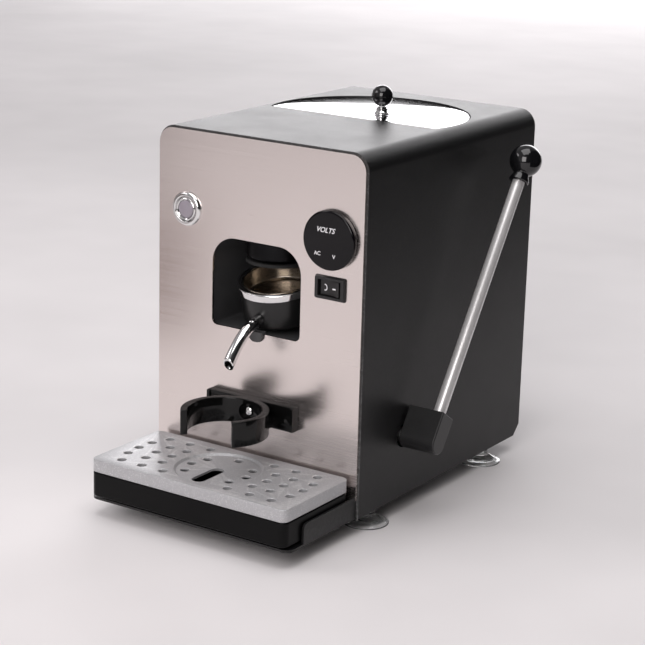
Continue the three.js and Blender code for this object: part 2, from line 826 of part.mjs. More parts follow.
function cupHolder() {
  const { ringRadius: ring, ringWall, centreY, bottom, openHalfAngle, screwZ } = CUP_HOLDER;
  const top = bottom + CUP_HOLDER.height;
  const front = -Math.PI / 2;
  const start = front + openHalfAngle;
  const end = front + 2 * Math.PI - openHalfAngle;
  const shape = new THREE.Shape();
  shape.absarc(0, centreY, ring, start, end);
  shape.absarc(0, centreY, ring - ringWall, end, start, true);
  shape.closePath();
  const plateFront = -GAP - CUP_HOLDER.plateThickness;
  const half = CUP_HOLDER.plateWidth / 2;
  const plate = box(-half, half, plateFront, -GAP, bottom, top);
  const bore = barZ(0, centreY, bottom - THROUGH, top + THROUGH, ring - ringWall / 2, ROUND);
  const web = cut(holderWeb(plateFront), bore);
  const access = barY(0, screwZ, centreY, plateFront, CUP_HOLDER.accessRadius);
  const screwHole = barY(0, screwZ, centreY, THROUGH, CUP_SCREW.shankRadius + GAP);
  return cut(join(prismZ(shape, bottom, top, WIDE_STEPS), plate, web), access, screwHole);
}

function cupScrew() {
  const seat = -GAP - CUP_HOLDER.plateThickness - GAP;
  const head = barY(0, CUP_HOLDER.screwZ, seat - CUP_SCREW.headHeight, seat, CUP_SCREW.headRadius);
  const shank = barY(0, CUP_HOLDER.screwZ, seat - OVERLAP, seat + CUP_SCREW.length, CUP_SCREW.shankRadius);
  return join(head, shank);
}

add('cup_holder', cupHolder(), FINISH.blackPlastic);
add('cup_holder_screw', cupScrew(), FINISH.chrome);

// ---- push button, voltmeter and rocker switch

function buttonBezel() {
  const { bezelRadius, bezelHeight, bezelEdge, bezelSlope, capRadius } = BUTTON;
  const { barrelRadius, barrelLength, barrelFloor } = BUTTON;
  const inner = capRadius + RUNNING;
  const profile = [
    [inner, bezelHeight],
    [inner, barrelFloor - barrelLength],
    [0, barrelFloor - barrelLength],
    [0, -barrelLength],
    [barrelRadius, -barrelLength],
    [barrelRadius, GAP],
    [bezelRadius, GAP],
    [bezelRadius - bezelEdge, bezelHeight - bezelEdge],
    [bezelRadius - bezelSlope, bezelHeight],
    [inner, bezelHeight],
  ];
  return turnedForward(profile, ROUND, BUTTON.x, BUTTON.z);
}

function buttonCap() {
  const { capRadius, capHeight: top, capLength, capEdge, lensRadius, lensDepth } = BUTTON;
  const profile = [
    [0, top - lensDepth],
    [0, top - capLength],
    [capRadius, top - capLength],
    [capRadius, top - capEdge],
    [capRadius - capEdge, top],
    [lensRadius + GAP, top],
    [lensRadius + GAP, top - lensDepth],
    [0, top - lensDepth],
  ];
  return turnedForward(profile, ROUND, BUTTON.x, BUTTON.z);
}

function buttonLens() {
  const { capHeight: top, lensRadius, lensDepth, lensProud } = BUTTON;
  const profile = [
    [0, top - lensDepth + GAP],
    [lensRadius, top - lensDepth + GAP],
    [lensRadius, top],
    [0, top + lensProud],
  ];
  return turnedForward(profile, ROUND, BUTTON.x, BUTTON.z);
}

function panelNut(place, barrelRadius, sides) {
  const { nutThickness: thickness, nutRadius: radius } = place;
  const ring = barY(place.x, place.z, SHEET + GAP, SHEET + GAP + thickness, radius, sides);
  return cut(ring, barY(place.x, place.z, 0, SHEET + thickness + THROUGH, barrelRadius + GAP, ROUND));
}

add('button_bezel', buttonBezel(), FINISH.chrome);
add('button_cap', buttonCap(), FINISH.chrome);
add('button_lens', buttonLens(), FINISH.lensGrey);
add('button_nut', panelNut(BUTTON, BUTTON.barrelRadius, HEX), FINISH.steel);

function gaugeHousing() {
  const { lensRadius, lensWall, lensProud, bodyRadius, bodyLength } = GAUGE;
  const faceRadius = lensRadius - lensWall - GAP;
  const face = lensProud - lensWall - GAP;
  const profile = [
    [0, -bodyLength],
    [bodyRadius, -bodyLength],
    [bodyRadius, GAP],
    [faceRadius, GAP],
    [faceRadius, face],
    [0, face],
  ];
  return turnedForward(profile, ROUND, GAUGE.x, GAUGE.z);
}

function gaugeLens() {
  const { lensRadius, lensWall, lensProud, lensEdge } = GAUGE;
  const profile = [
    [0, lensProud - lensWall],
    [lensRadius - lensWall, lensProud - lensWall],
    [lensRadius - lensWall, GAP],
    [lensRadius, GAP],
    [lensRadius, lensProud - lensEdge],
    [lensRadius - lensEdge, lensProud],
    [0, lensProud],
  ];
  return turnedForward(profile, ROUND, GAUGE.x, GAUGE.z);
}

add('gauge_housing', gaugeHousing(), FINISH.glossBlack);
add('gauge_lens', gaugeLens(), FINISH.darkLens);
add('gauge_nut', panelNut(GAUGE, GAUGE.bodyRadius, ROUND), FINISH.blackPlastic);

function rockerHousing() {
  const { x, z, bezelWidth, bezelHeight, bezelProud, bezelCorner, bodyWidth, bodyHeight, bodyDepth } = ROCKER;
  const [left, right] = [x - bezelWidth / 2, x + bezelWidth / 2];
  const [low, high] = [z - bezelHeight / 2, z + bezelHeight / 2];
  const outline = roundedRectangle(left, right, low, high, evenCorners(bezelCorner));
  const bezel = prismY(outline, -GAP - bezelProud, -GAP, FEW_STEPS);
  const [bodyLow, bodyHigh] = [z - bodyHeight / 2, z + bodyHeight / 2];
  const body = box(x - bodyWidth / 2, x + bodyWidth / 2, -GAP - OVERLAP, bodyDepth, bodyLow, bodyHigh);
  const halfWidth = ROCKER.openingWidth / 2;
  const [wellLow, wellHigh] = [z - ROCKER.openingHeight / 2, z + ROCKER.openingHeight / 2];
  const well = box(x - halfWidth, x + halfWidth, -THROUGH, ROCKER.openingDepth, wellLow, wellHigh);
  return cut(join(bezel, body), well);
}

const rocker = new THREE.Group();
rocker.position.set(ROCKER.x, 0, ROCKER.z);
rocker.rotation.z = -ROCKER.tilt;
machine.add(rocker);

// The key is a block with a hollowed front, and stands with its left end pressed in.
function rockerKey() {
  const half = ROCKER.keyWidth / 2;
  const { keyProud, keyDepth, keyHeight, keyTaper, keyHollow } = ROCKER;
  const shape = new THREE.Shape();
  shape.moveTo(-half, -keyProud);
  shape.lineTo(-half * keyTaper, keyDepth);
  shape.lineTo(half * keyTaper, keyDepth);
  shape.lineTo(half, -keyProud);
  shape.quadraticCurveTo(0, keyHollow, -half, -keyProud);
  return prismZ(shape, -keyHeight / 2, keyHeight / 2, ARC_STEPS);
}

add('rocker_housing', rockerHousing(), FINISH.blackPlastic);
add('rocker_key', rockerKey(), FINISH.blackPlastic, rocker);

// ---- brew chamber, group frame, group and boiler

function linerOutline(outward) {
  const low = CHAMBER.bottomRadius;
  const high = WINDOW.topRadius + CHAMBER.margin + outward;
  const [left, right] = [chamberLeft - outward, chamberRight + outward];
  return roundedRectangle(left, right, chamberBottom - outward, chamberTop + outward, [low, low, high, high]);
}

function brewChamber() {
  const { wall } = CHAMBER;
  const armHalf = CHAMBER.armSlotWidth / 2;
  const armLow = PORTAFILTER.hingeZ - PORTAFILTER.cupDepth - CHAMBER.armSlotBelow;
  const armHigh = chamberTop - wall;
  const [slotFront, slotRear] = [chamberBack - wall - THROUGH, chamberBack + THROUGH];
  const armSlot = box(-armHalf, armHalf, slotFront, slotRear, armLow, armHigh);
  const groupLow = chamberTop - WINDOW.topRadius;
  const holeRadius = groupRadius + GROUP.holeClearance;
  const groupHole = barZ(0, basketY, groupLow, chamberTop + THROUGH, holeRadius, ROUND);
  const liner = cut(
    prismY(linerOutline(wall), coverFront, chamberBack),
    prismY(linerOutline(0), coverFront - THROUGH, chamberBack - wall),
    armSlot,
    groupHole,
  );
  const nose = cut(
    prismY(notchOutline(GAP), -CHAMBER.noseReach, coverFront + SHEET),
    box(-COVER.width, COVER.width, -COVER.depth, COVER.depth, chamberBottom, chamberTop),
  );
  return join(liner, nose);
}

function groupFrame() {
  const { front, top, rearWindowBottom, rearWindowTop } = FRAME;
  const half = frameHalfWidth;
  const inner = half - SHEET;
  const low = SHEET + GAP;
  const walls = cut(
    box(-half, half, front, frameRear, low, top),
    box(-inner, inner, front - THROUGH, frameRear - SHEET, low - THROUGH, top + THROUGH),
  );
  const open = FRAME.rearWindowWidth / 2;
  const [windowFront, windowRear] = [frameRear - THROUGH, frameRear + THROUGH];
  const rearWindow = box(-open, open, windowFront, windowRear, rearWindowBottom, rearWindowTop);
  const [left, right] = [-half - THROUGH, half + THROUGH];
  const shaftBore = barX(shaftY, LEVER.pivotZ, left, right, LEVER.shaftRadius + BUSH.wall + GAP);
  const pinBore = barX(hingeY, PORTAFILTER.hingeZ, left, right, PORTAFILTER.pinRadius + GAP);
  return cut(walls, rearWindow, shaftBore, pinBore);
}

function groupHead() {
  const top = BOILER.bottom - GAP;
  const profile = [
    [0, groupBottom],
    [groupRadius - GROUP.chamfer, groupBottom],
    [groupRadius, groupBottom + GROUP.chamfer],
    [groupRadius, top],
    [0, top],
  ];
  return turned(profile, ROUND, 0, basketY);
}

function groupSeal() {
  const [low, high] = [groupBottom - GROUP.sealHeight, groupBottom - GAP];
  const ring = barZ(0, basketY, low, high, groupRadius, ROUND);
  return cut(ring, barZ(0, basketY, low - THROUGH, high + THROUGH, groupRadius - GROUP.sealWall, ROUND));
}

function showerScreen() {
  const top = groupBottom - GAP;
  return barZ(0, basketY, top - GROUP.screenThickness, top, screenRadius, ROUND);
}

function boiler() {
  const { width, depth, bottom, height, frontY, edge, grooveDepth, grooveHeight } = BOILER;
  const outline = roundedRectangle(-width / 2, width / 2, frontY, frontY + depth, evenCorners(edge));
  const grooves = BOILER.groovePlaces.map((share) => {
    const z = bottom + height * share;
    return box(-width, width, frontY - THROUGH, frontY + grooveDepth, z, z + grooveHeight);
  });
  return cut(prismZ(outline, bottom, bottom + height, FEW_STEPS), ...grooves);
}

const boilerTop = BOILER.bottom + BOILER.height;
const boilerMidY = BOILER.frontY + BOILER.depth / 2;

function thermostat() {
  const low = boilerTop + GAP;
  return barZ(0, boilerMidY, low, low + THERMOSTAT.height, THERMOSTAT.radius);
}

add('brew_chamber', brewChamber(), FINISH.blackPlastic);
add('group_frame', groupFrame(), FINISH.steel);
add('group_head', groupHead(), FINISH.darkMetal);
add('group_seal', groupSeal(), FINISH.blackRubber);
add('shower_screen', showerScreen(), FINISH.steel);
add('boiler', boiler(), FINISH.aluminium);
add('thermostat', thermostat(), FINISH.steel);

// ---- portafilter, hung on a pin behind the chamber; its own frame has the hinge at the origin

const portafilter = new THREE.Group();
portafilter.position.set(0, hingeY, PORTAFILTER.hingeZ);
portafilter.rotation.x = PORTAFILTER.openTilt;
machine.add(portafilter);

function portafilterBody() {
  const { ringHeight, cupDepth, cupWall, cupFloor, armWidth, armTop, armBottom } = PORTAFILTER;
  const { barrelRadius, barrelWidth, pinRadius } = PORTAFILTER;
  const top = -ringHeight - GAP;
  const cup = barZ(0, -armLength, -cupDepth, top, cupRadius, ROUND);
  const hollow = barZ(0, -armLength, cupFloor - cupDepth, top + THROUGH, cupRadius - cupWall, ROUND);
  const half = armWidth / 2;
  const rearArm = box(-half, half, cupRadius - armLength - 2 * OVERLAP, 0, armBottom, armTop);
  const barrel = barX(0, 0, -barrelWidth / 2, barrelWidth / 2, barrelRadius);
  const neck = box(-half, half, -barrelRadius, barrelRadius, armBottom, 0);
  const pinBore = barX(0, 0, -barrelWidth, barrelWidth, pinRadius + RUNNING);
  const outlet = barY(0, -SPOUT.drop, -armLength - cupRadius - THROUGH, -armLength, SPOUT.boreRadius);
  return cut(join(cup, rearArm, neck, barrel), hollow, pinBore, outlet);
}

function filterRing() {
  const { ringHeight, ringEdge, basketRadius } = PORTAFILTER;
  const inner = basketRadius + GAP;
  const profile = [
    [inner, -ringHeight],
    [ringRadius, -ringHeight],
    [ringRadius, -ringEdge],
    [ringRadius - ringEdge, 0],
    [inner, 0],
    [inner, -ringHeight],
  ];
  return turned(profile, ROUND, 0, -armLength);
}

function filterBasket() {
  const { basketRadius, basketDepth, basketWall, basketCorner, basketSink } = PORTAFILTER;
  const profile = [
    [0, -basketDepth],
    [basketRadius - basketCorner, -basketDepth],
    [basketRadius, basketCorner - basketDepth],
    [basketRadius, -basketSink],
    [basketRadius - basketWall, -basketSink],
    [basketRadius - basketWall, basketCorner + basketWall - basketDepth],
    [0, basketWall - basketDepth],
  ];
  return turned(profile, ROUND, 0, -armLength);
}

// The spout leaves the front of the cup, level, and bends down towards its mouth.
function spout() {
  const start = -armLength - cupRadius - GAP;
  const { reach, fall, drop, outerRadius, boreRadius, sides, steps } = SPOUT;
  const places = SPOUT.route.map(([forward, down]) => [0, start - forward * reach, -drop - down * fall]);
  const middle = route(places);
  const bore = tube(carriedOn(middle, THROUGH), boreRadius, sides, steps);
  return cut(tube(middle, outerRadius, sides, steps), bore);
}

add('portafilter_body', portafilterBody(), FINISH.blackPlastic, portafilter);
add('filter_ring', filterRing(), FINISH.chrome, portafilter);
add('filter_basket', filterBasket(), FINISH.steel, portafilter);
add('spout', spout(), FINISH.chrome, portafilter);

function hingePin() {
  const end = frameHalfWidth + PORTAFILTER.pinPastFrame;
  return barX(hingeY, PORTAFILTER.hingeZ, -end, end, PORTAFILTER.pinRadius);
}

add('hinge_pin', hingePin(), FINISH.steel);

// ---- push rod that the cam lifts to close the portafilter

function pushRod() {
  const { radius, endSteps } = PUSH_ROD;
  const lower = ballArc(radius, -rodFootZ, 0, endSteps).map(([r, z]) => [r, -z]).reverse();
  const upper = ballArc(radius, rodTopZ, 0, endSteps);
  return turned([...lower, ...upper], SMALL_ROUND, 0, rodY);
}

function rodGuide() {
  const { guideHeight, guideZ, guideWidth, guideWall, radius } = PUSH_ROD;
  const front = rodY - radius - guideWall;
  const rear = frameRear - SHEET - GAP;
  const block = box(-guideWidth / 2, guideWidth / 2, front, rear, guideZ, guideZ + guideHeight);
  return cut(block, barZ(0, rodY, guideZ - THROUGH, guideZ + guideHeight + THROUGH, radius + RUNNING));
}

add('push_rod', pushRod(), FINISH.steel);
add('rod_guide', rodGuide(), FINISH.brass);

// ---- lever; its own frame has the shaft along X through the origin and the rod along Z

const lever = new THREE.Group();
lever.position.set(0, shaftY, LEVER.pivotZ);
lever.rotation.x = -LEVER.lean;
machine.add(lever);

const hubLeft = COVER.width / 2 + LEVER.sideClearance;
const hubRight = hubLeft + LEVER.hubWidth;
const rodX = hubRight - LEVER.rodInset;

function leverHub() {
  const half = LEVER.hubThickness / 2;
  const shape = new THREE.Shape();
  shape.moveTo(half, LEVER.hubAbove);
  shape.lineTo(-half, LEVER.hubAbove);
  shape.lineTo(-half, 0);
  shape.absarc(0, 0, half, Math.PI, Math.PI * 2);
  shape.closePath();
  const shaftBore = barX(0, 0, hubLeft - THROUGH, hubLeft + LEVER.shaftIntoHub, LEVER.shaftRadius + GAP);
  const boreBottom = LEVER.hubAbove - LEVER.rodSink;
  const rodBore = barZ(rodX, 0, boreBottom, LEVER.hubAbove + THROUGH, LEVER.rodRadius + GAP);
  return cut(prismX(shape, hubLeft, hubRight, ARC_STEPS), shaftBore, rodBore);
}

function leverRod() {
  const bottom = LEVER.hubAbove - LEVER.rodSink + GAP;
  const top = LEVER.ballHeight - LEVER.collarLength + LEVER.boreDepth - GAP;
  return barZ(rodX, 0, bottom, top, LEVER.rodRadius, ROUND);
}

function leverBall() {
  const { ballRadius, ballHeight, collarRadius, collarTopRadius, collarLength, boreDepth, rodRadius } = LEVER;
  const joinAngle = -Math.acos(collarTopRadius / ballRadius);
  const collarBottom = ballHeight - collarLength;
  const profile = [
    [0, collarBottom + boreDepth],
    [rodRadius + GAP, collarBottom + boreDepth],
    [rodRadius + GAP, collarBottom],
    [collarRadius, collarBottom],
    ...ballArc(ballRadius, ballHeight, joinAngle, ARC_STEPS),
  ];
  return turned(profile, LEVER.ballSides, rodX, 0);
}

function leverShaft() {
  const left = -frameHalfWidth - LEVER.shaftPastFrame;
  return barX(0, 0, left, hubLeft + LEVER.shaftIntoHub - GAP, LEVER.shaftRadius);
}

// The cam's radius grows evenly over the lever's stroke, so the push rod rises evenly with it.
function leverCam() {
  const rise = rodRise * Math.sin(rodAngle);
  const start = rodAngle + LEVER.lean;
  const shape = new THREE.Shape();
  for (let step = 0; step < CAM.sides; step += 1) {
    const turn = (step / CAM.sides) * Math.PI * 2;
    const back = Math.PI * 2 - turn;
    const lift = THREE.MathUtils.clamp(back / CAM.stroke, 0, 1);
    const fade = THREE.MathUtils.clamp((back - CAM.stroke - CAM.dwell) / (Math.PI - CAM.dwell), 0, 1);
    const radius = CAM.lowRadius + rise * lift * (1 - fade);
    const angle = start + turn;
    const place = [radius * Math.cos(angle), radius * Math.sin(angle)];
    if (step === 0) shape.moveTo(...place);
    else shape.lineTo(...place);
  }
  shape.closePath();
  const bore = barX(0, 0, -CAM.width, CAM.width, LEVER.shaftRadius + GAP);
  return cut(prismX(shape, -CAM.width / 2, CAM.width / 2), bore);
}

add('lever_hub', leverHub(), FINISH.blackPlastic, lever);
add('lever_rod', leverRod(), FINISH.brushedSteel, lever);
add('lever_ball', leverBall(), FINISH.glossBlack, lever);
add('lever_shaft', leverShaft(), FINISH.steel, lever);
add('lever_cam', leverCam(), FINISH.steel, lever);

// A flanged bush in one side of the group frame: side is -1 on the left and 1 on the right.
function shaftBush(side) {
  const outer = LEVER.shaftRadius + BUSH.wall;
  const inside = frameHalfWidth - SHEET - OVERLAP;
  const seat = frameHalfWidth + GAP;
  const outside = seat + BUSH.flangeThickness;
  const along = (from, to, radius) => {
    const [low, high] = [side * from, side * to].sort((a, b) => a - b);
    return barX(shaftY, LEVER.pivotZ, low, high, radius);
  };
  const bush = join(along(inside, outside, outer), along(seat, outside, outer + BUSH.flangeWidth));
  return cut(bush, along(inside - THROUGH, outside + THROUGH, LEVER.shaftRadius + RUNNING));
}

add('shaft_bush_left', shaftBush(-1), FINISH.brass);
add('shaft_bush_right', shaftBush(1), FINISH.brass);

// ---- water tank and its lid

function waterTank() {
  const { bottom, floor, outletRadius, outletWall, outletLength } = TANK;
  const hollow = prismZ(tankOutline(-TANK.wall), bottom + floor, tankTop + THROUGH, WIDE_STEPS);
  const body = cut(prismZ(tankOutline(0), bottom, tankTop, WIDE_STEPS), hollow);
  const low = bottom - outletLength;
  const nozzle = barZ(0, outletY, low, bottom + OVERLAP, outletRadius);
  const drain = barZ(0, outletY, low - THROUGH, bottom + floor + THROUGH, outletRadius - outletWall);
  return cut(join(body, nozzle), drain);
}

function lidKnobNeck() {
  const { footRadius, footHeight, neckRadius } = KNOB;
  const base = lidTop + GAP;
  const profile = [
    [0, base],
    [footRadius, base],
    [neckRadius, base + footHeight],
    [neckRadius, knobSeat - GAP],
    [0, knobSeat - GAP],
  ];
  return turned(profile, SMALL_ROUND, KNOB.x, KNOB.y);
}

function lidKnob() {
  const flat = -Math.asin((knobCentre - knobSeat) / KNOB.ballRadius);
  const profile = [[0, knobSeat], ...ballArc(KNOB.ballRadius, knobCentre, flat, ARC_STEPS)];
  return turned(profile, KNOB.ballSides, KNOB.x, KNOB.y);
}

add('water_tank', waterTank(), FINISH.tankPlastic);
add('lid', prismZ(tankOutline(0), lidTop - LID.thickness, lidTop, WIDE_STEPS), FINISH.chrome);
add('lid_knob_neck', lidKnobNeck(), FINISH.chrome);
add('lid_knob', lidKnob(), FINISH.glossBlack);

function tankShelf() {
  const front = TANK.chordY + SHELF.behindChord;
  const rear = TANK.centreY + TANK.radius - SHELF.rearInset;
  const half = footX - FOOT.headRadius - SHELF.footClearance;
  const top = TANK.bottom - GAP;
  const low = SHEET + GAP;
  return cut(
    box(-half, half, front, rear, low, top),
    box(-half + SHEET, half - SHEET, front - THROUGH, rear + THROUGH, low - THROUGH, top - SHEET),
    barZ(0, outletY, top - THROUGH, top + THROUGH, TANK.outletRadius + SHELF.outletClearance),
  );
}

add('tank_shelf', tankShelf(), FINISH.steel);

// ---- pump, hoses and electrics under the tank

function pumpCoil() {
  const half = PUMP.coilWidth / 2;
  const [left, right] = [PUMP.x - half, PUMP.x + half];
  const [front, rear] = [PUMP.coilFront, PUMP.coilRear];
  const block = box(left, right, front, rear, PUMP.z - half, PUMP.z + half);
  return cut(block, barY(PUMP.x, PUMP.z, front - THROUGH, rear + THROUGH, PUMP.barrelRadius + GAP));
}

function pumpMount(front) {
  const half = PUMP.mountWidth / 2;
  const rear = front + PUMP.mountThickness;
  const top = PUMP.z + PUMP.barrelRadius + PUMP.mountAbove;
  const block = box(PUMP.x - half, PUMP.x + half, front, rear, SHEET + GAP, top);
  return cut(block, barY(PUMP.x, PUMP.z, front - THROUGH, rear + THROUGH, PUMP.barrelRadius + GAP));
}

add('pump_coil', pumpCoil(), FINISH.blackPlastic);
add('pump_barrel', barY(PUMP.x, PUMP.z, PUMP.barrelFront, PUMP.barrelRear, PUMP.barrelRadius), FINISH.brass);
add('pump_mount_front', pumpMount(PUMP.barrelFront + PUMP.mountFromEnd), FINISH.blackRubber);
const rearMount = PUMP.barrelRear - PUMP.mountFromEnd - PUMP.mountThickness;
add('pump_mount_rear', pumpMount(rearMount), FINISH.blackRubber);

// The hoses' routes keep to the space between the group frame and the tank, and behind the pump.
const portZ = BOILER.bottom + BOILER.height * BOILER.portShare;
const riserY = (frameRear + TANK.chordY) / 2;
const pressureRoute = route([
  [PUMP.x, PUMP.barrelFront - GAP, PUMP.z],
  [PUMP.x, PUMP.barrelFront - 3, PUMP.z],
  [PUMP.x + 2, PUMP.barrelFront - 8, PUMP.z + 7],
  [-20, riserY, PUMP.z + 40],
  [-18, riserY, TANK.bottom + 20],
  [BOILER.portX - 1, frameRear + 3, portZ - 14],
  [BOILER.portX, frameRear - 12, portZ],
  [BOILER.portX, BOILER.frontY + BOILER.depth + GAP, portZ],
]);
const outletBottom = TANK.bottom - TANK.outletLength;
const suctionRoute = route([
  [0, outletY, outletBottom - GAP],
  [0, outletY, outletBottom - 4],
  [0, outletY + 6, outletBottom - 22],
  [-12, PUMP.barrelRear - 2, outletBottom - 48],
  [PUMP.x + 2, PUMP.barrelRear + 10, PUMP.z + 12],
  [PUMP.x, PUMP.barrelRear + 4, PUMP.z],
  [PUMP.x, PUMP.barrelRear + GAP, PUMP.z],
]);
add('pressure_hose', tube(pressureRoute, HOSE.radius, HOSE.sides, HOSE.steps), FINISH.hoseWhite);
add('suction_hose', tube(suctionRoute, HOSE.radius, HOSE.sides, HOSE.steps), FINISH.hoseWhite);

const boardBottom = SHEET + BOARD.standoff;

function controlBoard() {
  const { leftX, rightX, frontY, rearY, thickness, postRadius, postInset } = BOARD;
  const plate = box(leftX, rightX, frontY, rearY, boardBottom, boardBottom + thickness);
  const z = boardBottom + thickness / 2;
  const posts = [leftX + postInset, rightX - postInset].flatMap((x) => (
    [frontY + postInset, rearY - postInset].map((y) => barZ(x, y, SHEET + GAP, z, postRadius))
  ));
  const relay = new THREE.BoxGeometry(RELAY.width, RELAY.depth, RELAY.height);
  relay.translate((leftX + rightX) / 2, (frontY + rearY) / 2, z + RELAY.height / 2);
  return join(plate, relay, ...posts);
}

function powerInlet() {
  const outside = rearPanelBack + GAP;
  const flange = barY(INLET.x, INLET.z, outside, outside + INLET.flangeHeight, INLET.flangeRadius, ROUND);
  const barrel = barY(INLET.x, INLET.z, outside - INLET.length, outside + OVERLAP, INLET.barrelRadius);
  const mouth = outside + INLET.flangeHeight;
  const socket = barY(INLET.x, INLET.z, mouth - INLET.socketDepth, mouth + THROUGH, INLET.socketRadius);
  return cut(join(flange, barrel), socket);
}

add('control_board', controlBoard(), FINISH.boardGreen);
add('power_inlet', powerInlet(), FINISH.blackPlastic);

// ---------------------------------------------------------------- set down on its feet

machine.updateMatrixWorld(true);
const extent = new THREE.Box3().setFromObject(machine, true);
const middle = extent.getCenter(new THREE.Vector3());
machine.position.set(-middle.x, -middle.y, -extent.min.z);

const group = new THREE.Group();
group.add(machine);

export default group;
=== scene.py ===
"""A compact lever espresso machine for coffee pods: the detailed pieces and finishes round its frame.

Pieces are shaped in millimetres in the machine's own place: x = 0 is the middle of the cover, y = 0 the
front face of the front panel and z = 0 the underside of the cover. Each is then set into the frame.
"""

import json
import math
from collections import namedtuple

import bmesh
import bpy
from mathutils import Matrix, Vector


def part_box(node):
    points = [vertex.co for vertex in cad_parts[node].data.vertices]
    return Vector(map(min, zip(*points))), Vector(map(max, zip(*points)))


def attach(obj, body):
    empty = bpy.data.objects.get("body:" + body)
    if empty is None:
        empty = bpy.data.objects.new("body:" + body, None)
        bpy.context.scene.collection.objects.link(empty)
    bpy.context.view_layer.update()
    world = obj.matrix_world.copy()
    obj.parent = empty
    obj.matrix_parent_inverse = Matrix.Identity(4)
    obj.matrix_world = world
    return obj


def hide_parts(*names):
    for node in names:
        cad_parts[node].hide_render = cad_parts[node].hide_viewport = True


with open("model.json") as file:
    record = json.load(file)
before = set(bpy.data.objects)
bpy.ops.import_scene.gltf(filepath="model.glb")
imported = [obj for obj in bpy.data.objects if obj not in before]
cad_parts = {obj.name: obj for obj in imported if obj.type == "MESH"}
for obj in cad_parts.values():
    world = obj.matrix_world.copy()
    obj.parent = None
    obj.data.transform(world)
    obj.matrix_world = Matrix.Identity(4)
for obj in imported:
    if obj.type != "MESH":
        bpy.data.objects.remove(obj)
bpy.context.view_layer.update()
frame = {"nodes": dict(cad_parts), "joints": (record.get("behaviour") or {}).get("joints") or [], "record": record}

# ---------------------------------------------------------------- places taken from the frame

MM = 0.001
NODES = frame["nodes"]
RECORD = frame["record"]
BODY_OF = {node: body for body, group in RECORD["behaviour"]["bodies"].items() for node in group}
SLOT_OF = {part["node"]: part["material_slot"] for part in RECORD["subparts"]}
JOINTS = {joint["name"]: joint for joint in frame["joints"]}

cover_low, cover_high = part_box("cover")
panel_low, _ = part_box("front_panel")
ORIGIN = Vector(((cover_low.x + cover_high.x) / 2, panel_low.y, cover_low.z))
TO_FRAME = Matrix.Translation(ORIGIN) @ Matrix.Scale(MM, 4)

Span = namedtuple("Span", "x0 x1 y0 y1 z0 z1 x y z dx dy dz")


def span(node, place=Matrix.Identity(4)):
    """Where a CAD node lies, in millimetres, in the machine's place or one that is tilted in it."""
    back = (TO_FRAME @ place).inverted()
    corners = [back @ vertex.co for vertex in NODES[node].data.vertices]
    low = Vector([min(corner[axis] for corner in corners) for axis in range(3)])
    high = Vector([max(corner[axis] for corner in corners) for axis in range(3)])
    middle = (low + high) / 2
    size = high - low
    return Span(low.x, high.x, low.y, high.y, low.z, high.z, *middle, *size)


def pivot(joint):
    return (Vector(JOINTS[joint]["pos_m"]) - ORIGIN) / MM


# ---------------------------------------------------------------- sizes that the frame doesn't give

SHEET = 1.5
GAP = 0.3
EDGE = 0.35
FINE = 96
MEDIUM = 48
SMALL = 28

# ---------------------------------------------------------------- shaping tools


def arc(x, y, radius, start, end, steps=12):
    """Points along an arc, angles in degrees."""
    turns = [math.radians(start + (end - start) * step / steps) for step in range(steps + 1)]
    return [(x + radius * math.cos(turn), y + radius * math.sin(turn)) for turn in turns]


def rounded_rectangle(x0, x1, y0, y1, corners, steps=12):
    """An outline whose corner radii start at the bottom left and go anticlockwise."""
    if not isinstance(corners, (list, tuple)):
        corners = [corners] * 4
    places = [(x0, y0, 1, 1, 180), (x1, y0, -1, 1, 270), (x1, y1, -1, -1, 0), (x0, y1, 1, -1, 90)]
    points = []
    for (x, y, inward_x, inward_y, start), radius in zip(places, corners):
        if radius:
            points += arc(x + inward_x * radius, y + inward_y * radius, radius, start, start + 90, steps)
        else:
            points.append((x, y))
    return points


AXES = {
    "X": Matrix(((0, 0, 1, 0), (1, 0, 0, 0), (0, 1, 0, 0), (0, 0, 0, 1))),
    "Y": Matrix(((1, 0, 0, 0), (0, 0, 1, 0), (0, 1, 0, 0), (0, 0, 0, 1))),
    "Z": Matrix.Identity(4),
}


def linked(name, data):
    thing = bpy.data.objects.new(name, data)
    bpy.context.scene.collection.objects.link(thing)
    return thing


def mesh_from(name, bm):
    mesh = bpy.data.meshes.new(name)
    bm.to_mesh(mesh)
    bm.free()
    return mesh


def point_out(bm):
    bmesh.ops.remove_doubles(bm, verts=bm.verts, dist=1e-4)
    bmesh.ops.recalc_face_normals(bm, faces=bm.faces)
    return bm


def prism(outline, axis, low, high):
    """A flat outline carried along an axis: X takes (y, z), Y takes (x, z) and Z takes (x, y)."""
    bm = bmesh.new()
    face = bm.faces.new([bm.verts.new((u, v, low)) for u, v in outline])
    raised = bmesh.ops.extrude_face_region(bm, geom=[face])["geom"]
    corners = [part for part in raised if isinstance(part, bmesh.types.BMVert)]
    bmesh.ops.translate(bm, verts=corners, vec=(0, 0, high - low))
    bmesh.ops.transform(bm, matrix=AXES[axis], verts=bm.verts)
    return point_out(bm)


def block(x0, x1, y0, y1, z0, z1):
    bm = bmesh.new()
    bmesh.ops.create_cube(bm, size=1)
    bmesh.ops.scale(bm, vec=(x1 - x0, y1 - y0, z1 - z0), verts=bm.verts)
    bmesh.ops.translate(bm, vec=((x0 + x1) / 2, (y0 + y1) / 2, (z0 + z1) / 2), verts=bm.verts)
    return bm


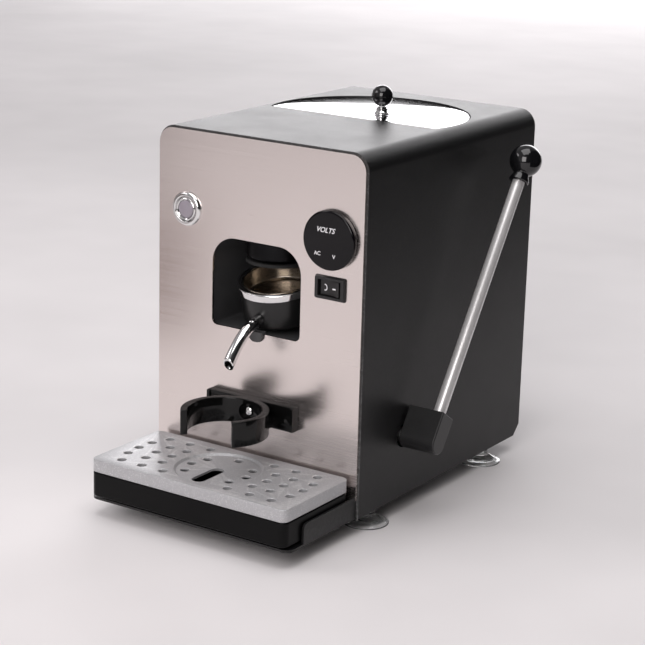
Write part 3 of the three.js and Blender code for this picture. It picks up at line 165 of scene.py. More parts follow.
def lathe(profile, steps=FINE, closed=False):
    """A turned piece about the Z axis from (radius, height) pairs."""
    bm = bmesh.new()
    corners = [bm.verts.new((radius, 0, height)) for radius, height in profile]
    pairs = list(zip(corners, corners[1:]))
    if closed:
        pairs.append((corners[-1], corners[0]))
    edges = [bm.edges.new(pair) for pair in pairs]
    bmesh.ops.spin(bm, geom=corners + edges, axis=(0, 0, 1), cent=(0, 0, 0), steps=steps,
                   angle=math.tau, use_merge=True)
    bmesh.ops.dissolve_degenerate(bm, edges=bm.edges, dist=1e-5)
    return point_out(bm)


def soften(profile, radius, steps=4):
    """Rounds the inner corners of an open profile, by no more than its straight stretches allow."""
    points = [Vector(point) for point in profile]
    result = [tuple(points[0])]
    for before, here, after in zip(points, points[1:], points[2:]):
        back, forward = before - here, after - here
        reach = min(radius, back.length * 0.45, forward.length * 0.45)
        start, end = here + back.normalized() * reach, here + forward.normalized() * reach
        for step in range(steps + 1):
            share = step / steps
            result.append(tuple(start * (1 - share) ** 2 + here * 2 * share * (1 - share) + end * share ** 2))
    return result + [tuple(points[-1])]


def bar(axis, u, v, low, high, radius, steps=MEDIUM):
    """A round bar along an axis; (u, v) is its middle across the axis."""
    bm = bmesh.new()
    bmesh.ops.create_cone(bm, cap_ends=True, segments=steps, radius1=radius, radius2=radius, depth=high - low)
    bmesh.ops.translate(bm, vec=(u, v, (low + high) / 2), verts=bm.verts)
    bmesh.ops.transform(bm, matrix=AXES[axis], verts=bm.verts)
    return point_out(bm)


def placed(bm, matrix):
    bmesh.ops.transform(bm, matrix=matrix, verts=bm.verts)
    return bm


def moved(bm, x=0, y=0, z=0):
    return placed(bm, Matrix.Translation((x, y, z)))


def facing_front(bm, x, z, y=0):
    """Turns a lathed piece so that its upward axis points out of the front panel."""
    return placed(bm, Matrix.Translation((x, y, z)) @ Matrix.Rotation(math.pi / 2, 4, "X"))


def facing_back(bm, x, y, z):
    """Turns a lathed piece so that its upward axis points out of the rear."""
    return moved(placed(bm, Matrix.Rotation(-math.pi / 2, 4, "X")), x, y, z)


def merged(*parts):
    """Several loose solids as one mesh."""
    whole = parts[0]
    for part in parts[1:]:
        mesh = mesh_from("part", part)
        whole.from_mesh(mesh)
        bpy.data.meshes.remove(mesh)
    return whole


def temporary(bm):
    return linked("temporary", mesh_from("temporary", bm))


def boolean(bm, operation, tools):
    """The solid with each tool cut from it or joined to it."""
    body = temporary(bm)
    helpers = [temporary(tool) for tool in tools]
    for helper in helpers:
        modifier = body.modifiers.new("boolean", "BOOLEAN")
        modifier.operation = operation
        modifier.solver = "EXACT"
        modifier.object = helper
    graph = bpy.context.evaluated_depsgraph_get()
    result = bmesh.new()
    result.from_object(body, graph)
    for thing in [body, *helpers]:
        mesh = thing.data
        bpy.data.objects.remove(thing)
        bpy.data.meshes.remove(mesh)
    bmesh.ops.remove_doubles(result, verts=result.verts, dist=1e-4)
    bmesh.ops.dissolve_degenerate(result, edges=result.edges, dist=1e-4)
    return result


def cut(bm, *tools):
    return boolean(bm, "DIFFERENCE", tools)


def join(bm, *tools):
    return boolean(bm, "UNION", tools)


def sieve_holes(rings, low, high, radius, sides):
    """Small bars in rings about the Z axis, to be cut from a sieve; each ring has a radius and a count."""
    bars = []
    for ring, count in rings:
        for step in range(count):
            turn = math.tau * step / count
            bars.append(bar("Z", ring * math.cos(turn), ring * math.sin(turn), low, high, radius, sides))
    return merged(*bars)


def bevel_sharp(bm, width, segments=3, angle=35):
    """Rounds every edge where two faces meet at more than the angle."""
    limit = math.radians(angle)
    edges = [edge for edge in bm.edges if len(edge.link_faces) == 2 and edge.calc_face_angle(0) > limit]
    bmesh.ops.bevel(bm, geom=edges, offset=width, offset_type="OFFSET", segments=segments, profile=0.5,
                    affect="EDGES", clamp_overlap=True, material=-1)
    return bm


def piece(name, node, bm, material, edge=EDGE, segments=3, smooth=40, also=(), stands_in=True):
    """Makes a finished piece that moves with a CAD node's body and, as a rule, stands in for the node."""
    bmesh.ops.transform(bm, matrix=TO_FRAME, verts=bm.verts)
    mesh = mesh_from(name, bm)
    mesh.polygons.foreach_set("use_smooth", [True] * len(mesh.polygons))
    mesh.set_sharp_from_angle(angle=math.radians(smooth))
    mesh.materials.append(material)
    thing = linked(name, mesh)
    if edge:
        bevel = thing.modifiers.new("rounded edges", "BEVEL")
        bevel.width = edge * MM
        bevel.segments = segments
        bevel.limit_method = "ANGLE"
        bevel.angle_limit = math.radians(smooth)
        bevel.harden_normals = True
    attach(thing, BODY_OF[node])
    if stands_in:
        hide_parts(node, *also)
    return thing


def detail(name, node, bm, material, smooth=40):
    """A small piece that goes with a node but doesn't replace it."""
    return piece(name, node, bm, material, edge=0, smooth=smooth, stands_in=False)


# ---------------------------------------------------------------- shader effects used by several finishes


class Net:
    """Adds nodes to one node tree and joins them."""

    def __init__(self, tree):
        self.tree = tree

    def add(self, kind, inputs=(), **settings):
        node = self.tree.nodes.new("ShaderNode" + kind)
        for key, value in settings.items():
            setattr(node, key, value)
        for key, value in dict(inputs).items():
            self.put(node.inputs[key], value)
        return node

    def put(self, socket, value):
        if isinstance(value, bpy.types.NodeSocket):
            self.tree.links.new(value, socket)
        else:
            socket.default_value = value

    def math(self, operation, first, second=0.0, clamp=False):
        return self.add("Math", {0: first, 1: second}, operation=operation, use_clamp=clamp).outputs[0]

    def multiply_add(self, value, factor, added):
        return self.add("Math", {0: value, 1: factor, 2: added}, operation="MULTIPLY_ADD").outputs[0]

    def scaled(self, vector, factor):
        return self.add("VectorMath", {0: vector, "Scale": factor}, operation="SCALE").outputs[0]

    def place(self):
        return self.add("TexCoord").outputs["Object"]

    def noise(self, place, size, fineness, rough=0.5):
        inputs = {"Vector": place, "Scale": size, "Detail": fineness, "Roughness": rough}
        return self.add("TexNoise", inputs).outputs["Fac"]

    def spread(self, value, low, high, to_low, to_high):
        places = {"Value": value, "From Min": low, "From Max": high, "To Min": to_low, "To Max": to_high}
        return self.add("MapRange", places).outputs[0]

    def mix(self, share, first, second):
        node = self.add("Mix", data_type="RGBA")
        self.put(node.inputs[0], share)
        self.put(node.inputs[6], first)
        self.put(node.inputs[7], second)
        return node.outputs[2]


def effect(name, inputs, outputs):
    """An empty node group with its named sockets; gives its net, its input node and its output node."""
    group = bpy.data.node_groups.new(name, "ShaderNodeTree")
    for socket, (kind, value) in inputs.items():
        made = group.interface.new_socket(socket, in_out="INPUT", socket_type="NodeSocket" + kind)
        made.default_value = value
    for socket, kind in outputs.items():
        group.interface.new_socket(socket, in_out="OUTPUT", socket_type="NodeSocket" + kind)
    net = Net(group)
    return net, group.nodes.new("NodeGroupInput").outputs, group.nodes.new("NodeGroupOutput").inputs


def cloud_effect():
    """Slow uneven patches, as handling and casting leave them: a tint and a roughness change."""
    net, given, out = effect(
        "clouds",
        {"Size": ("Float", 60.0), "Tint": ("Color", (1, 1, 1, 1)), "Tint Change": ("Float", 0.1),
         "Roughness": ("Float", 0.4), "Roughness Change": ("Float", 0.1)},
        {"Color": "Color", "Roughness": "Float", "Mask": "Float"},
    )
    place = net.place()
    mask = net.spread(net.noise(place, given["Size"], 4.0, 0.6), 0.3, 0.7, 0.0, 1.0)
    signed = net.math("SUBTRACT", mask, 0.5)
    gain = net.multiply_add(signed, given["Tint Change"], 1.0)
    net.put(out["Color"], net.scaled(given["Tint"], gain))
    net.put(out["Roughness"], net.multiply_add(signed, given["Roughness Change"], given["Roughness"]))
    net.put(out["Mask"], mask)
    return net.tree


def grain_effect():
    """Fine brushed lines: noise that is stretched along the direction in which the metal was rubbed."""
    net, given, out = effect(
        "brushed grain",
        {"Stretch": ("Vector", (20, 1500, 1500)), "Colour": ("Color", (1, 1, 1, 1)), "Depth": ("Float", 0.1)},
        {"Color": "Color", "Height": "Float", "Streak": "Float"},
    )
    place = net.place()
    stretched = net.add("VectorMath", {0: place, 1: given["Stretch"]}, operation="MULTIPLY").outputs[0]
    fine = net.noise(stretched, 1.0, 3.0, 0.7)
    wide = net.noise(stretched, 0.13, 2.0)
    streak = net.math("ADD", net.math("MULTIPLY", fine, 0.65), net.math("MULTIPLY", wide, 0.35))
    change = net.spread(streak, 0.35, 0.65, -1.0, 1.0)
    gain = net.multiply_add(change, given["Depth"], 1.0)
    net.put(out["Color"], net.scaled(given["Colour"], gain))
    net.put(out["Height"], streak)
    net.put(out["Streak"], streak)
    return net.tree


def grit_effect():
    """The fine bumps of a powder coat or a moulding's spark-eroded texture, with pale specks on some."""
    net, given, out = effect(
        "grit",
        {"Size": ("Float", 2200.0), "Speck Share": ("Float", 0.02)},
        {"Height": "Float", "Speck": "Float"},
    )
    place = net.place()
    noise = net.noise(place, given["Size"], 2.0, 0.55)
    cells = net.add("TexVoronoi", {"Vector": place, "Scale": given["Size"]})
    bump = net.math("MULTIPLY", net.math("SUBTRACT", 1.0, cells.outputs["Distance"]), 0.5)
    net.put(out["Height"], net.math("ADD", bump, noise))
    chance = net.add("SeparateColor", {0: cells.outputs["Color"]}).outputs[0]
    net.put(out["Speck"], net.math("LESS_THAN", chance, given["Speck Share"]))
    return net.tree


def wear_and_sheen_effect():
    """A mask of the outer edges, broken up by noise, where paint and polish rub off first; on the cover's front
    rim the same mask carries a painted highlight.
    """
    net, given, out = effect(
        "edge wear and sheen", {"Amount": ("Float", 0.5), "Size": ("Float", 400.0)}, {"Mask": "Float"})
    point = net.add("NewGeometry").outputs["Pointiness"]
    edge = net.spread(point, 0.52, 0.6, 0.0, 1.0)
    place = net.place()
    noise = net.noise(place, given["Size"], 3.0)
    broken = net.math("MULTIPLY", edge, net.spread(noise, 0.4, 0.6, 0.3, 1.0))
    net.put(out["Mask"], net.math("MULTIPLY", broken, given["Amount"], clamp=True))
    return net.tree


CLOUDS = cloud_effect()
GRAIN = grain_effect()
GRIT = grit_effect()
WEAR_AND_SHEEN = wear_and_sheen_effect()

# ---------------------------------------------------------------- finishes


def new_material(name, **constants):
    """A material with one Principled shader; the named constants are set on the shader's own sockets."""
    material = bpy.data.materials.new(name)
    material.use_nodes = True
    net = Net(material.node_tree)
    shader = material.node_tree.nodes["Principled BSDF"]
    for socket, value in constants.items():
        shader.inputs[socket.replace("_", " ")].default_value = value
    return material, net, shader.inputs


def place_effect(net, group, **inputs):
    node = net.add("Group", node_tree=group)
    for socket, value in inputs.items():
        net.put(node.inputs[socket.replace("_", " ")], value)
    return node.outputs


def bump(net, shader, height, strength, distance=0.0002):
    node = net.add("Bump", {"Height": height, "Strength": strength, "Distance": distance})
    net.put(shader["Normal"], node.outputs["Normal"])


def colour(red, green, blue):
    return (red, green, blue, 1.0)


def grey(level):
    return colour(level, level, level)


# Paler edges from the edge mask: worn edges on most finishes, and a painted highlight on the cover's front rim.
def wear_and_sheen(net, base, wear_and_sheen_colour, amount, size=400.0):
    mask = place_effect(net, WEAR_AND_SHEEN, Amount=amount, Size=size)["Mask"]
    return net.mix(mask, base, wear_and_sheen_colour)


def gritty(name, tint, rough, size, strength, wear_and_sheen_tint, wear_and_sheen_share, speck=0.0, patches=40.0, change=0.25,
           **constants):
    """Painted or moulded surfaces: fine texture, slow patches, paler edges (wear; painted highlight on the cover
    rim).
    """
    material, net, shader = new_material(name, **constants)
    clouds = place_effect(net, CLOUDS, Size=patches, Tint=tint, Tint_Change=change, Roughness=rough,
                          Roughness_Change=0.04)
    grit = place_effect(net, GRIT, Size=size, Speck_Share=speck)
    base = wear_and_sheen(net, clouds["Color"], wear_and_sheen_tint, wear_and_sheen_share)
    # Pale specks: flecks in the powder coat and silver paint, and a painted highlight on the cover's front rim.
    if speck:
        base = net.mix(net.math("MULTIPLY", grit["Speck"], 0.5), base, wear_and_sheen_tint)
    net.put(shader["Base Color"], base)
    net.put(shader["Roughness"], clouds["Roughness"])
    bump(net, shader, grit["Height"], strength)
    return material


def polished(name, tint, rough, metal, patches=25.0, change=0.06, ripple=0.02, **constants):
    """Polished metal or gloss plastic: faint patches in tint and gloss, and a very slight ripple."""
    material, net, shader = new_material(name, Metallic=metal, **constants)
    clouds = place_effect(net, CLOUDS, Size=patches, Tint=tint, Tint_Change=change, Roughness=rough,
                          Roughness_Change=rough * 0.6)
    net.put(shader["Base Color"], clouds["Color"])
    net.put(shader["Roughness"], clouds["Roughness"])
    bump(net, shader, clouds["Mask"], ripple, 0.0005)
    return material


def rubbed(name, tint, rough, stretch, depth, strength, patches=12.0, change=0.1, **constants):
    """Metal with brushed or turned lines along one direction."""
    material, net, shader = new_material(name, Metallic=1.0, **constants)
    clouds = place_effect(net, CLOUDS, Size=patches, Tint=tint, Tint_Change=change, Roughness=rough,
                          Roughness_Change=0.05)
    grain = place_effect(net, GRAIN, Stretch=stretch, Colour=clouds["Color"], Depth=depth)
    net.put(shader["Base Color"], grain["Color"])
    streak = net.math("SUBTRACT", grain["Streak"], 0.5)
    net.put(shader["Roughness"], net.multiply_add(streak, 0.25, clouds["Roughness"]))
    bump(net, shader, grain["Height"], strength)
    return material


# Pale tint for the cover's front rim, a painted highlight: the sheen along the bend from rim to side.
PALE_RIM_SHEEN = colour(0.16, 0.16, 0.165)

POWDER_COAT = gritty("powder coat", colour(0.0045, 0.0045, 0.005), 0.4, 2600.0, 0.2, grey(0.04), 0.4,
                     speck=0.01, change=0.15, Specular_IOR_Level=0.36)
# The cover's front rim: dark grit whose pale specks and pale edges are a painted highlight of the bend.
RIM_SHEEN_FINISH = gritty("cover rim painted sheen", grey(0.03), 0.5, 1500.0, 0.5, PALE_RIM_SHEEN, 0.6, speck=0.12)
BRUSHED_PANEL = rubbed("brushed panel", colour(0.8, 0.73, 0.705), 0.24, (20.0, 900.0, 4200.0), 0.02, 0.008,
                       patches=5.0, change=0.04)
BRUSHED_ROD = gritty("brushed rod", colour(0.78, 0.77, 0.77), 0.3, 2400.0, 0.02, grey(0.9), 0.3,
                     change=0.06, Metallic=0.55)
PLAIN_STEEL = rubbed("plain steel", grey(0.5), 0.34, (60.0, 900.0, 900.0), 0.08, 0.1)
# The tan in the basket steel's colour is a painted reflection of the tan and brown that the basket mirrors.
BASKET_STEEL = rubbed("basket steel", colour(0.46, 0.41, 0.35), 0.22, (300.0, 300.0, 1500.0), 0.15, 0.1)
CHROME = polished("chrome", grey(0.8), 0.07, 1.0)
MIRROR_LID = polished("polished lid", colour(0.62, 0.615, 0.63), 0.07, 1.0, patches=6.0, change=0.03)
BLACK_MOULDING = gritty("black moulding", colour(0.012, 0.012, 0.0125), 0.34, 1800.0, 0.1,
                        grey(0.05), 0.35)
BASIN_BLACK = gritty("basin black", colour(0.003, 0.003, 0.0032), 0.34, 1600.0, 0.1, grey(0.03), 0.25,
                     Specular_IOR_Level=0.12)
GLOSS_BLACK = polished("gloss black", colour(0.006, 0.006, 0.007), 0.09, 0.0, Coat_Weight=0.3,
                       Coat_Roughness=0.04)
RING_BLACK = polished("cup ring black", grey(0.004), 0.1, 0.0, patches=60.0, ripple=0.05,
                      Specular_IOR_Level=0.28)
SILVER_PAINT = gritty("silver paint", colour(0.46, 0.46, 0.475), 0.42, 2600.0, 0.06, grey(0.8), 0.4,
                      speck=0.12, change=0.05, Metallic=0.45)
CLEAR_VINYL = polished("clear vinyl", colour(0.97, 0.98, 0.98), 0.06, 0.0, Transmission_Weight=0.96, IOR=1.42)
BLACK_RUBBER = gritty("black rubber", grey(0.003), 0.75, 900.0, 0.3, grey(0.05), 0.3)
BUTTON_LENS = polished("button lens", colour(0.3, 0.27, 0.31), 0.2, 0.0, patches=300.0, Coat_Weight=0.5)
DARK_WINDOW = polished("dark window", colour(0.002, 0.0015, 0.0025), 0.03, 0.0, ripple=0.004,
                       Specular_IOR_Level=0.28)
MARKING = polished("white marking", colour(0.85, 0.85, 0.87), 0.4, 0.0, patches=900.0)
BRASS = rubbed("brass", colour(0.62, 0.47, 0.22), 0.3, (500.0, 500.0, 900.0), 0.1, 0.1)
CAST_ALUMINIUM = gritty("cast aluminium", colour(0.45, 0.46, 0.47), 0.45, 700.0, 0.3, grey(0.7), 0.5,
                        Metallic=0.9)
DARK_METAL = rubbed("dark metal", colour(0.014, 0.014, 0.015), 0.4, (400.0, 400.0, 1600.0), 0.1, 0.05)
TANK_PLASTIC = gritty("tank plastic", colour(0.68, 0.73, 0.76), 0.35, 500.0, 0.05,
                      colour(0.85, 0.88, 0.9), 0.3)
CHAMBER_GREY = gritty("chamber grey", colour(0.055, 0.055, 0.057), 0.4, 1500.0, 0.08, grey(0.1), 0.3)
CUP_BLACK = gritty("portafilter black", colour(0.006, 0.006, 0.0062), 0.32, 2200.0, 0.04, grey(0.04),
                   0.3)
FLOOR_PAPER = gritty("floor paper", colour(0.74, 0.715, 0.72), 0.75, 300.0, 0.02, grey(0.8), 0.0,
                     patches=1.5)
HOSE_SILICONE = gritty("hose silicone", colour(0.76, 0.76, 0.73), 0.45, 700.0, 0.05,
                       colour(0.9, 0.9, 0.88), 0.2)
BOARD_GREEN = gritty("circuit board", colour(0.03, 0.16, 0.07), 0.5, 900.0, 0.1, colour(0.3, 0.4, 0.3), 0.3)

# the finish of each CAD node that stays as it is, by its material slot
SLOT_FINISH = {
    "powder_coat": POWDER_COAT,
    "brushed_steel": BRUSHED_PANEL,
    "steel": PLAIN_STEEL,
    "chrome": CHROME,
    "black_plastic": BLACK_MOULDING,
    "gloss_black": GLOSS_BLACK,
    "silver_plastic": SILVER_PAINT,
    "clear_rubber": CLEAR_VINYL,
    "black_rubber": BLACK_RUBBER,
    "lens_grey": BUTTON_LENS,
    "dark_lens": DARK_WINDOW,
    "brass": BRASS,
    "aluminium": CAST_ALUMINIUM,
    "dark_metal": DARK_METAL,
    "tank_plastic": TANK_PLASTIC,
    "hose_white": HOSE_SILICONE,
    "board_green": BOARD_GREEN,
}

for node_name, node_object in NODES.items():
    node_object.data.materials.clear()
    node_object.data.materials.append(SLOT_FINISH[SLOT_OF[node_name]])

# ---------------------------------------------------------------- cover, panels and chassis

CORNER = 11.5
RETURN = 6.0
TAIL_CHAMFER = 5.0
WALL = 1.4
WINDOW_MARGIN = 1.0
NOTCH_WIDTH = 10.0
NOTCH_DEPTH = 5.5
NOTCH_X = 0.5
OVERSHOOT = 4.0
LID_CLEARANCE = 0.7
SHAFT_HOLE = 8
TAIL_OVERHANG = 9
WINDOW_CORNERS = (4, 4, 17, 17)
BUTTON_HOLE = 9.7
GAUGE_HOLE = 13.8
ROCKER_HOLE = (9.8, 6.6)
SCREW_HOLE = 2.2
REAR_SCREW_HOLE = 1.8
REAR_SCREW_HEAD = 1.6
INLET_HOLE = 8.3
BRACKET_CORNER = 6
THROUGH = (-OVERSHOOT, SHEET + OVERSHOOT)

whole = span("cover")
lid = span("lid")
tank_radius = lid.dx / 2
tank_y = lid.y1 - tank_radius


def tank_outline(clearance, steps=72):
    """A circle with its front cut off straight."""
    radius = tank_radius + clearance
    half = math.degrees(math.asin((tank_y - lid.y0 + clearance) / radius))
    return arc(0, tank_y, radius, -half, 180 + half, steps)


def front_faces(thing, material, beyond):
    """Gives the faces that look straight out of the front a finish of their own."""
    thing.data.materials.append(material)
    for face in thing.data.polygons:
        if face.normal.y < -0.9 and face.center.y < beyond:
            face.material_index = 1


def cover_shell():
    half = whole.dx / 2

    def outline(inset):
        corner = CORNER - inset
        corners = [0, 0, corner, corner]
        return rounded_rectangle(-half + inset, half - inset, 0, whole.z1 - inset, corners, 16)

    shaft = pivot("lever_turn")
    reach = half + TAIL_OVERHANG
    tail = block(-reach, reach, -TAIL_CHAMFER, TAIL_CHAMFER, -TAIL_CHAMFER, TAIL_CHAMFER)
    tail = moved(placed(tail, Matrix.Rotation(math.pi / 4, 4, "X")), y=whole.y1)
    shell = cut(
        prism(outline(0), "Y", whole.y0, whole.y1),
        prism(outline(SHEET), "Y", whole.y0 + SHEET, whole.y1 - SHEET),
        prism(outline(RETURN), "Y", whole.y0 - OVERSHOOT, whole.y1 + OVERSHOOT),
        block(-half + SHEET, half - SHEET, whole.y0 - OVERSHOOT, whole.y1 + OVERSHOOT, -OVERSHOOT, SHEET),
        prism(tank_outline(LID_CLEARANCE), "Z", whole.z1 - OVERSHOOT, whole.z1 + OVERSHOOT),
        bar("X", shaft.y, shaft.z, half - OVERSHOOT, half + OVERSHOOT, SHAFT_HOLE),
        tail,
    )
    shell = piece("cover_shell", "cover", shell, POWDER_COAT, edge=0.5)
    # The front-facing rim faces take the finish whose pale specks and edges are a painted highlight of the bend.
    front_faces(shell, RIM_SHEEN_FINISH, ORIGIN.y + (whole.y0 + 0.1) * MM)


def window_outline():
    liner = span("brew_chamber")
    low = liner.z0 + NOTCH_DEPTH - GAP
    inset = WALL + WINDOW_MARGIN
    return rounded_rectangle(liner.x0 + inset, liner.x1 - inset, low, liner.z1 - inset, WINDOW_CORNERS, 20)


def notch_outline(clearance):
    low = span("brew_chamber").z0 - GAP + clearance
    half = NOTCH_WIDTH / 2 - clearance
    corner = half * 0.8
    high = low + NOTCH_DEPTH + 1
    return rounded_rectangle(NOTCH_X - half, NOTCH_X + half, low, high, [corner, corner, 0, 0])


def front_panel():
    s = span("front_panel")
    button, gauge, rocker = span("button_nut"), span("gauge_nut"), span("rocker_housing")
    corner = CORNER - (whole.x1 - s.x1)
    holder = span("cup_holder_screw")
    hole_x, hole_z = ROCKER_HOLE
    plate = cut(
        prism(rounded_rectangle(s.x0, s.x1, s.z0, s.z1, [0, 0, corner, corner], 16), "Y", s.y0, s.y1),
        prism(window_outline(), "Y", *THROUGH),
        prism(notch_outline(0), "Y", *THROUGH),
        bar("Y", button.x, button.z, *THROUGH, BUTTON_HOLE),
        bar("Y", gauge.x, gauge.z, *THROUGH, GAUGE_HOLE),
        block(rocker.x - hole_x, rocker.x + hole_x, *THROUGH, rocker.z - hole_z, rocker.z + hole_z),
        bar("Y", holder.x, holder.z, *THROUGH, SCREW_HOLE, SMALL),
    )
    piece("brushed_front", "front_panel", plate, BRUSHED_PANEL, edge=0.3)


def rear_panel():
    s = span("rear_panel")
    inlet = span("power_inlet")
    width, height, pitch, first, count = 60, 3, 9, 150, 6
    depth = (s.y0 - OVERSHOOT, s.y1 + OVERSHOOT)
    vents = []
    for row in range(count):
        low = first + row * pitch
        outline = rounded_rectangle(-width / 2, width / 2, low, low + height, height * 0.49, 6)
        vents.append(prism(outline, "Y", *depth))
    holes = [bar("Y", inlet.x, inlet.z, *depth, INLET_HOLE)]
    for number in range(1, 5):
        screw = span(f"rear_screw_{number}")
        holes.append(bar("Y", screw.x, screw.z, *depth, REAR_SCREW_HOLE, SMALL))
    outline = rounded_rectangle(s.x0, s.x1, s.z0, s.z1, [0, 0, CORNER, CORNER], 16)
    sheet = cut(prism(outline, "Y", s.y0, s.y1), *vents, *holes)
    piece("rear_sheet", "rear_panel", sheet, POWDER_COAT, edge=0.3)


def cross_recess(size, depth):
    """A cross-shaped driver recess that opens upwards at z = 0."""
    thin = size * 0.24
    return [
        block(-size / 2, size / 2, -thin / 2, thin / 2, -depth, depth),
        block(-thin / 2, thin / 2, -size / 2, size / 2, -depth, depth),
    ]


def pan_screw(radius, height, shank, length):
    """A pan-head screw that points up, with its seat at z = 0."""
    dome = [(0, height)] + [
        (radius * math.sin(math.radians(turn)), height * (0.25 + 0.75 * math.cos(math.radians(turn))))
        for turn in range(15, 91, 15)
    ]
    profile = dome + [(radius, 0), (shank, 0), (shank, -length), (0, -length)]
    recess = [moved(tool, z=height) for tool in cross_recess(radius * 1.25, height * 0.6)]
    return cut(lathe(profile, MEDIUM), *recess)


def rear_screws():
    for number in range(1, 5):
        s = span(f"rear_screw_{number}")
        screw = pan_screw(s.dx / 2, REAR_SCREW_HEAD, 1.5, 6)
        screw = placed(screw, Matrix.Rotation(math.radians(23 * number), 4, "Z"))
        screw = facing_back(screw, s.x, s.y1 - REAR_SCREW_HEAD, s.z)
        piece(f"rear_pan_screw_{number}", f"rear_screw_{number}", screw, PLAIN_STEEL, edge=0)


def power_inlet():
    s = span("power_inlet")
    face = (s.x, s.y1, s.z)
    profile = [(0, -12), (4, -12), (4, 0), (9.6, 0), (11, -1), (11, -2.5), (8, -2.5), (8, -22.5), (0, -22.5)]
    socket = facing_back(lathe(soften(profile, 0.8)), *face)
    piece("inlet_socket", "power_inlet", socket, BLACK_MOULDING, edge=0)
    pin = lathe([(0, -2.5), (0.8, -3.2), (0.8, -11.8), (0, -11.8)], SMALL)
    detail("inlet_pin", "power_inlet", facing_back(pin, *face), BRASS)


def tray_bracket():
    s = span("tray_bracket")
    reach, flange_reach, flange_height, corner = -s.y0, 55, 14, 4
    floor_outline = rounded_rectangle(s.x0, s.x1, -reach, SHEET, [BRACKET_CORNER, BRACKET_CORNER, 0, 0])
    flange = rounded_rectangle(-flange_reach, SHEET, 0, flange_height, [0, 0, 0, corner])
    low = span("front_panel").z0 - GAP
    solid = join(
        prism(floor_outline, "Z", 0, SHEET),
        block(s.x0, s.x1, 0, SHEET, 0, low),
        prism(flange, "X", s.x0, s.x0 + SHEET),
        prism(flange, "X", s.x1 - SHEET, s.x1),
    )
    above = block(s.x0 - 9, s.x1 + 9, -GAP, 9, low, low + 9)
    piece("bracket_sheet", "tray_bracket", cut(solid, above), POWDER_COAT, edge=0.4)


def suction_foot(node, name):
    s = span(node)
    radius = s.dx / 2
    low = s.z0
    cup = [
        (0, low + 2.6), (radius * 0.4, low + 2.4), (radius * 0.8, low + 1.1), (radius - 1.1, low),
        (radius, low), (radius, low + 0.8), (radius * 0.8, low + 2.2), (radius * 0.55, low + 4.2),
        (6.4, low + 5.2), (6, low + 6.0), (6, -2.6), (5.2, -2.2), (5.2, -1.4), (6, -1.0), (6, -GAP),
        (3, -GAP), (3, SHEET + GAP), (4.5, SHEET + GAP), (3.4, SHEET + 2.8), (0, SHEET + 3.3),
    ]
    piece(name, node, moved(lathe(soften(cup, 0.6)), s.x, s.y), CLEAR_VINYL, edge=0, smooth=50)


cover_shell()
front_panel()
rear_panel()
rear_screws()
power_inlet()
tray_bracket()
for corner_name in ("front_left", "front_right", "rear_left", "rear_right"):
    suction_foot(f"suction_foot_{corner_name}", f"vinyl_foot_{corner_name}")

# ---------------------------------------------------------------- drip tray

TRAY_CORNER = 5.0
GRID_PLATE = 2.6
GRID_WALL = 2.0
DISH_RADIUS = 28.0
DISH_DEPTH = 1.2
ROW_PITCH = 12.2
HOLE_COLUMNS = ((36.5, 34.4, 24.5), (49.0, 47.6, 41.0), (63.0, 62.0, 57.0))
DISH_HOLES = (-36, 0, 34, 90, 146, 180, 216)
SLOT_WIDTH = 9.0
SLOT_LENGTH = 27.0
SLOT_OFFSET = 11.0


def tray_outline(s, inset):
    corner = max(TRAY_CORNER - inset, 1)
    return rounded_rectangle(s.x0 + inset, s.x1 - inset, s.y0 + inset, s.y1 - inset, corner)


def drip_basin():
    s = span("drip_basin")
    shell = cut(
        prism(tray_outline(s, 0), "Z", s.z0, s.z1),
        prism(tray_outline(s, GRID_WALL), "Z", s.z0 + GRID_WALL, s.z1 + OVERSHOOT),
    )
    piece("basin_moulding", "drip_basin", shell, BASIN_BLACK, edge=1.0, segments=4)


def hole_places():
    places = []
    for column in HOLE_COLUMNS:
        for row in range(-2, 3):
            x = column[abs(row)]
            places += [(-x, row * ROW_PITCH), (x, row * ROW_PITCH)]
    inner = DISH_RADIUS * 0.75
    for turn in DISH_HOLES:
        places.append((inner * math.cos(math.radians(turn)), inner * math.sin(math.radians(turn))))
    return places


def drip_grid():
    s = span("drip_grid")
    holes = []
    for x, y in hole_places():
        sink = lathe([(0, -4), (2.6, -4), (2.9, 0.0), (3.5, 0.6), (0, 0.6)], SMALL)
        low = s.z1 - DISH_DEPTH if math.hypot(x, y) < DISH_RADIUS else s.z1
        holes.append(moved(sink, x, s.y + y, low - 0.3))
    dish = lathe([(0, -DISH_DEPTH), (DISH_RADIUS - 1.6, -DISH_DEPTH), (DISH_RADIUS + 0.2, 0.2), (0, 0.2)])
    slot_y = s.y - SLOT_OFFSET
    half_width, half_length = SLOT_WIDTH / 2, SLOT_LENGTH / 2
    slot = rounded_rectangle(-half_width, half_width, slot_y - half_length, slot_y + half_length,
                             SLOT_WIDTH * 0.49)
    plate = cut(
        bevel_sharp(prism(tray_outline(s, 0), "Z", s.z0, s.z1), 0.5),
        prism(tray_outline(s, GRID_WALL), "Z", s.z0 - OVERSHOOT, s.z1 - GRID_PLATE),
        moved(dish, y=s.y, z=s.z1),
        prism(slot, "Z", s.z0, s.z1 + OVERSHOOT),
        merged(*holes),
    )
    piece("grid_plate", "drip_grid", plate, SILVER_PAINT, edge=0.25, smooth=22)


drip_basin()
drip_grid()

# ---------------------------------------------------------------- cup ring

RING_RADIUS = 27.4
RING_WALL = 4.4
RING_OPEN = 46
RING_CENTRE = -32.0
PLATE_THICKNESS = 5.5
GUSSET = 2.2
GUSSET_LIFT = 6.0
ACCESS_RADIUS = 5.6
SCREW_HEAD = 2.2


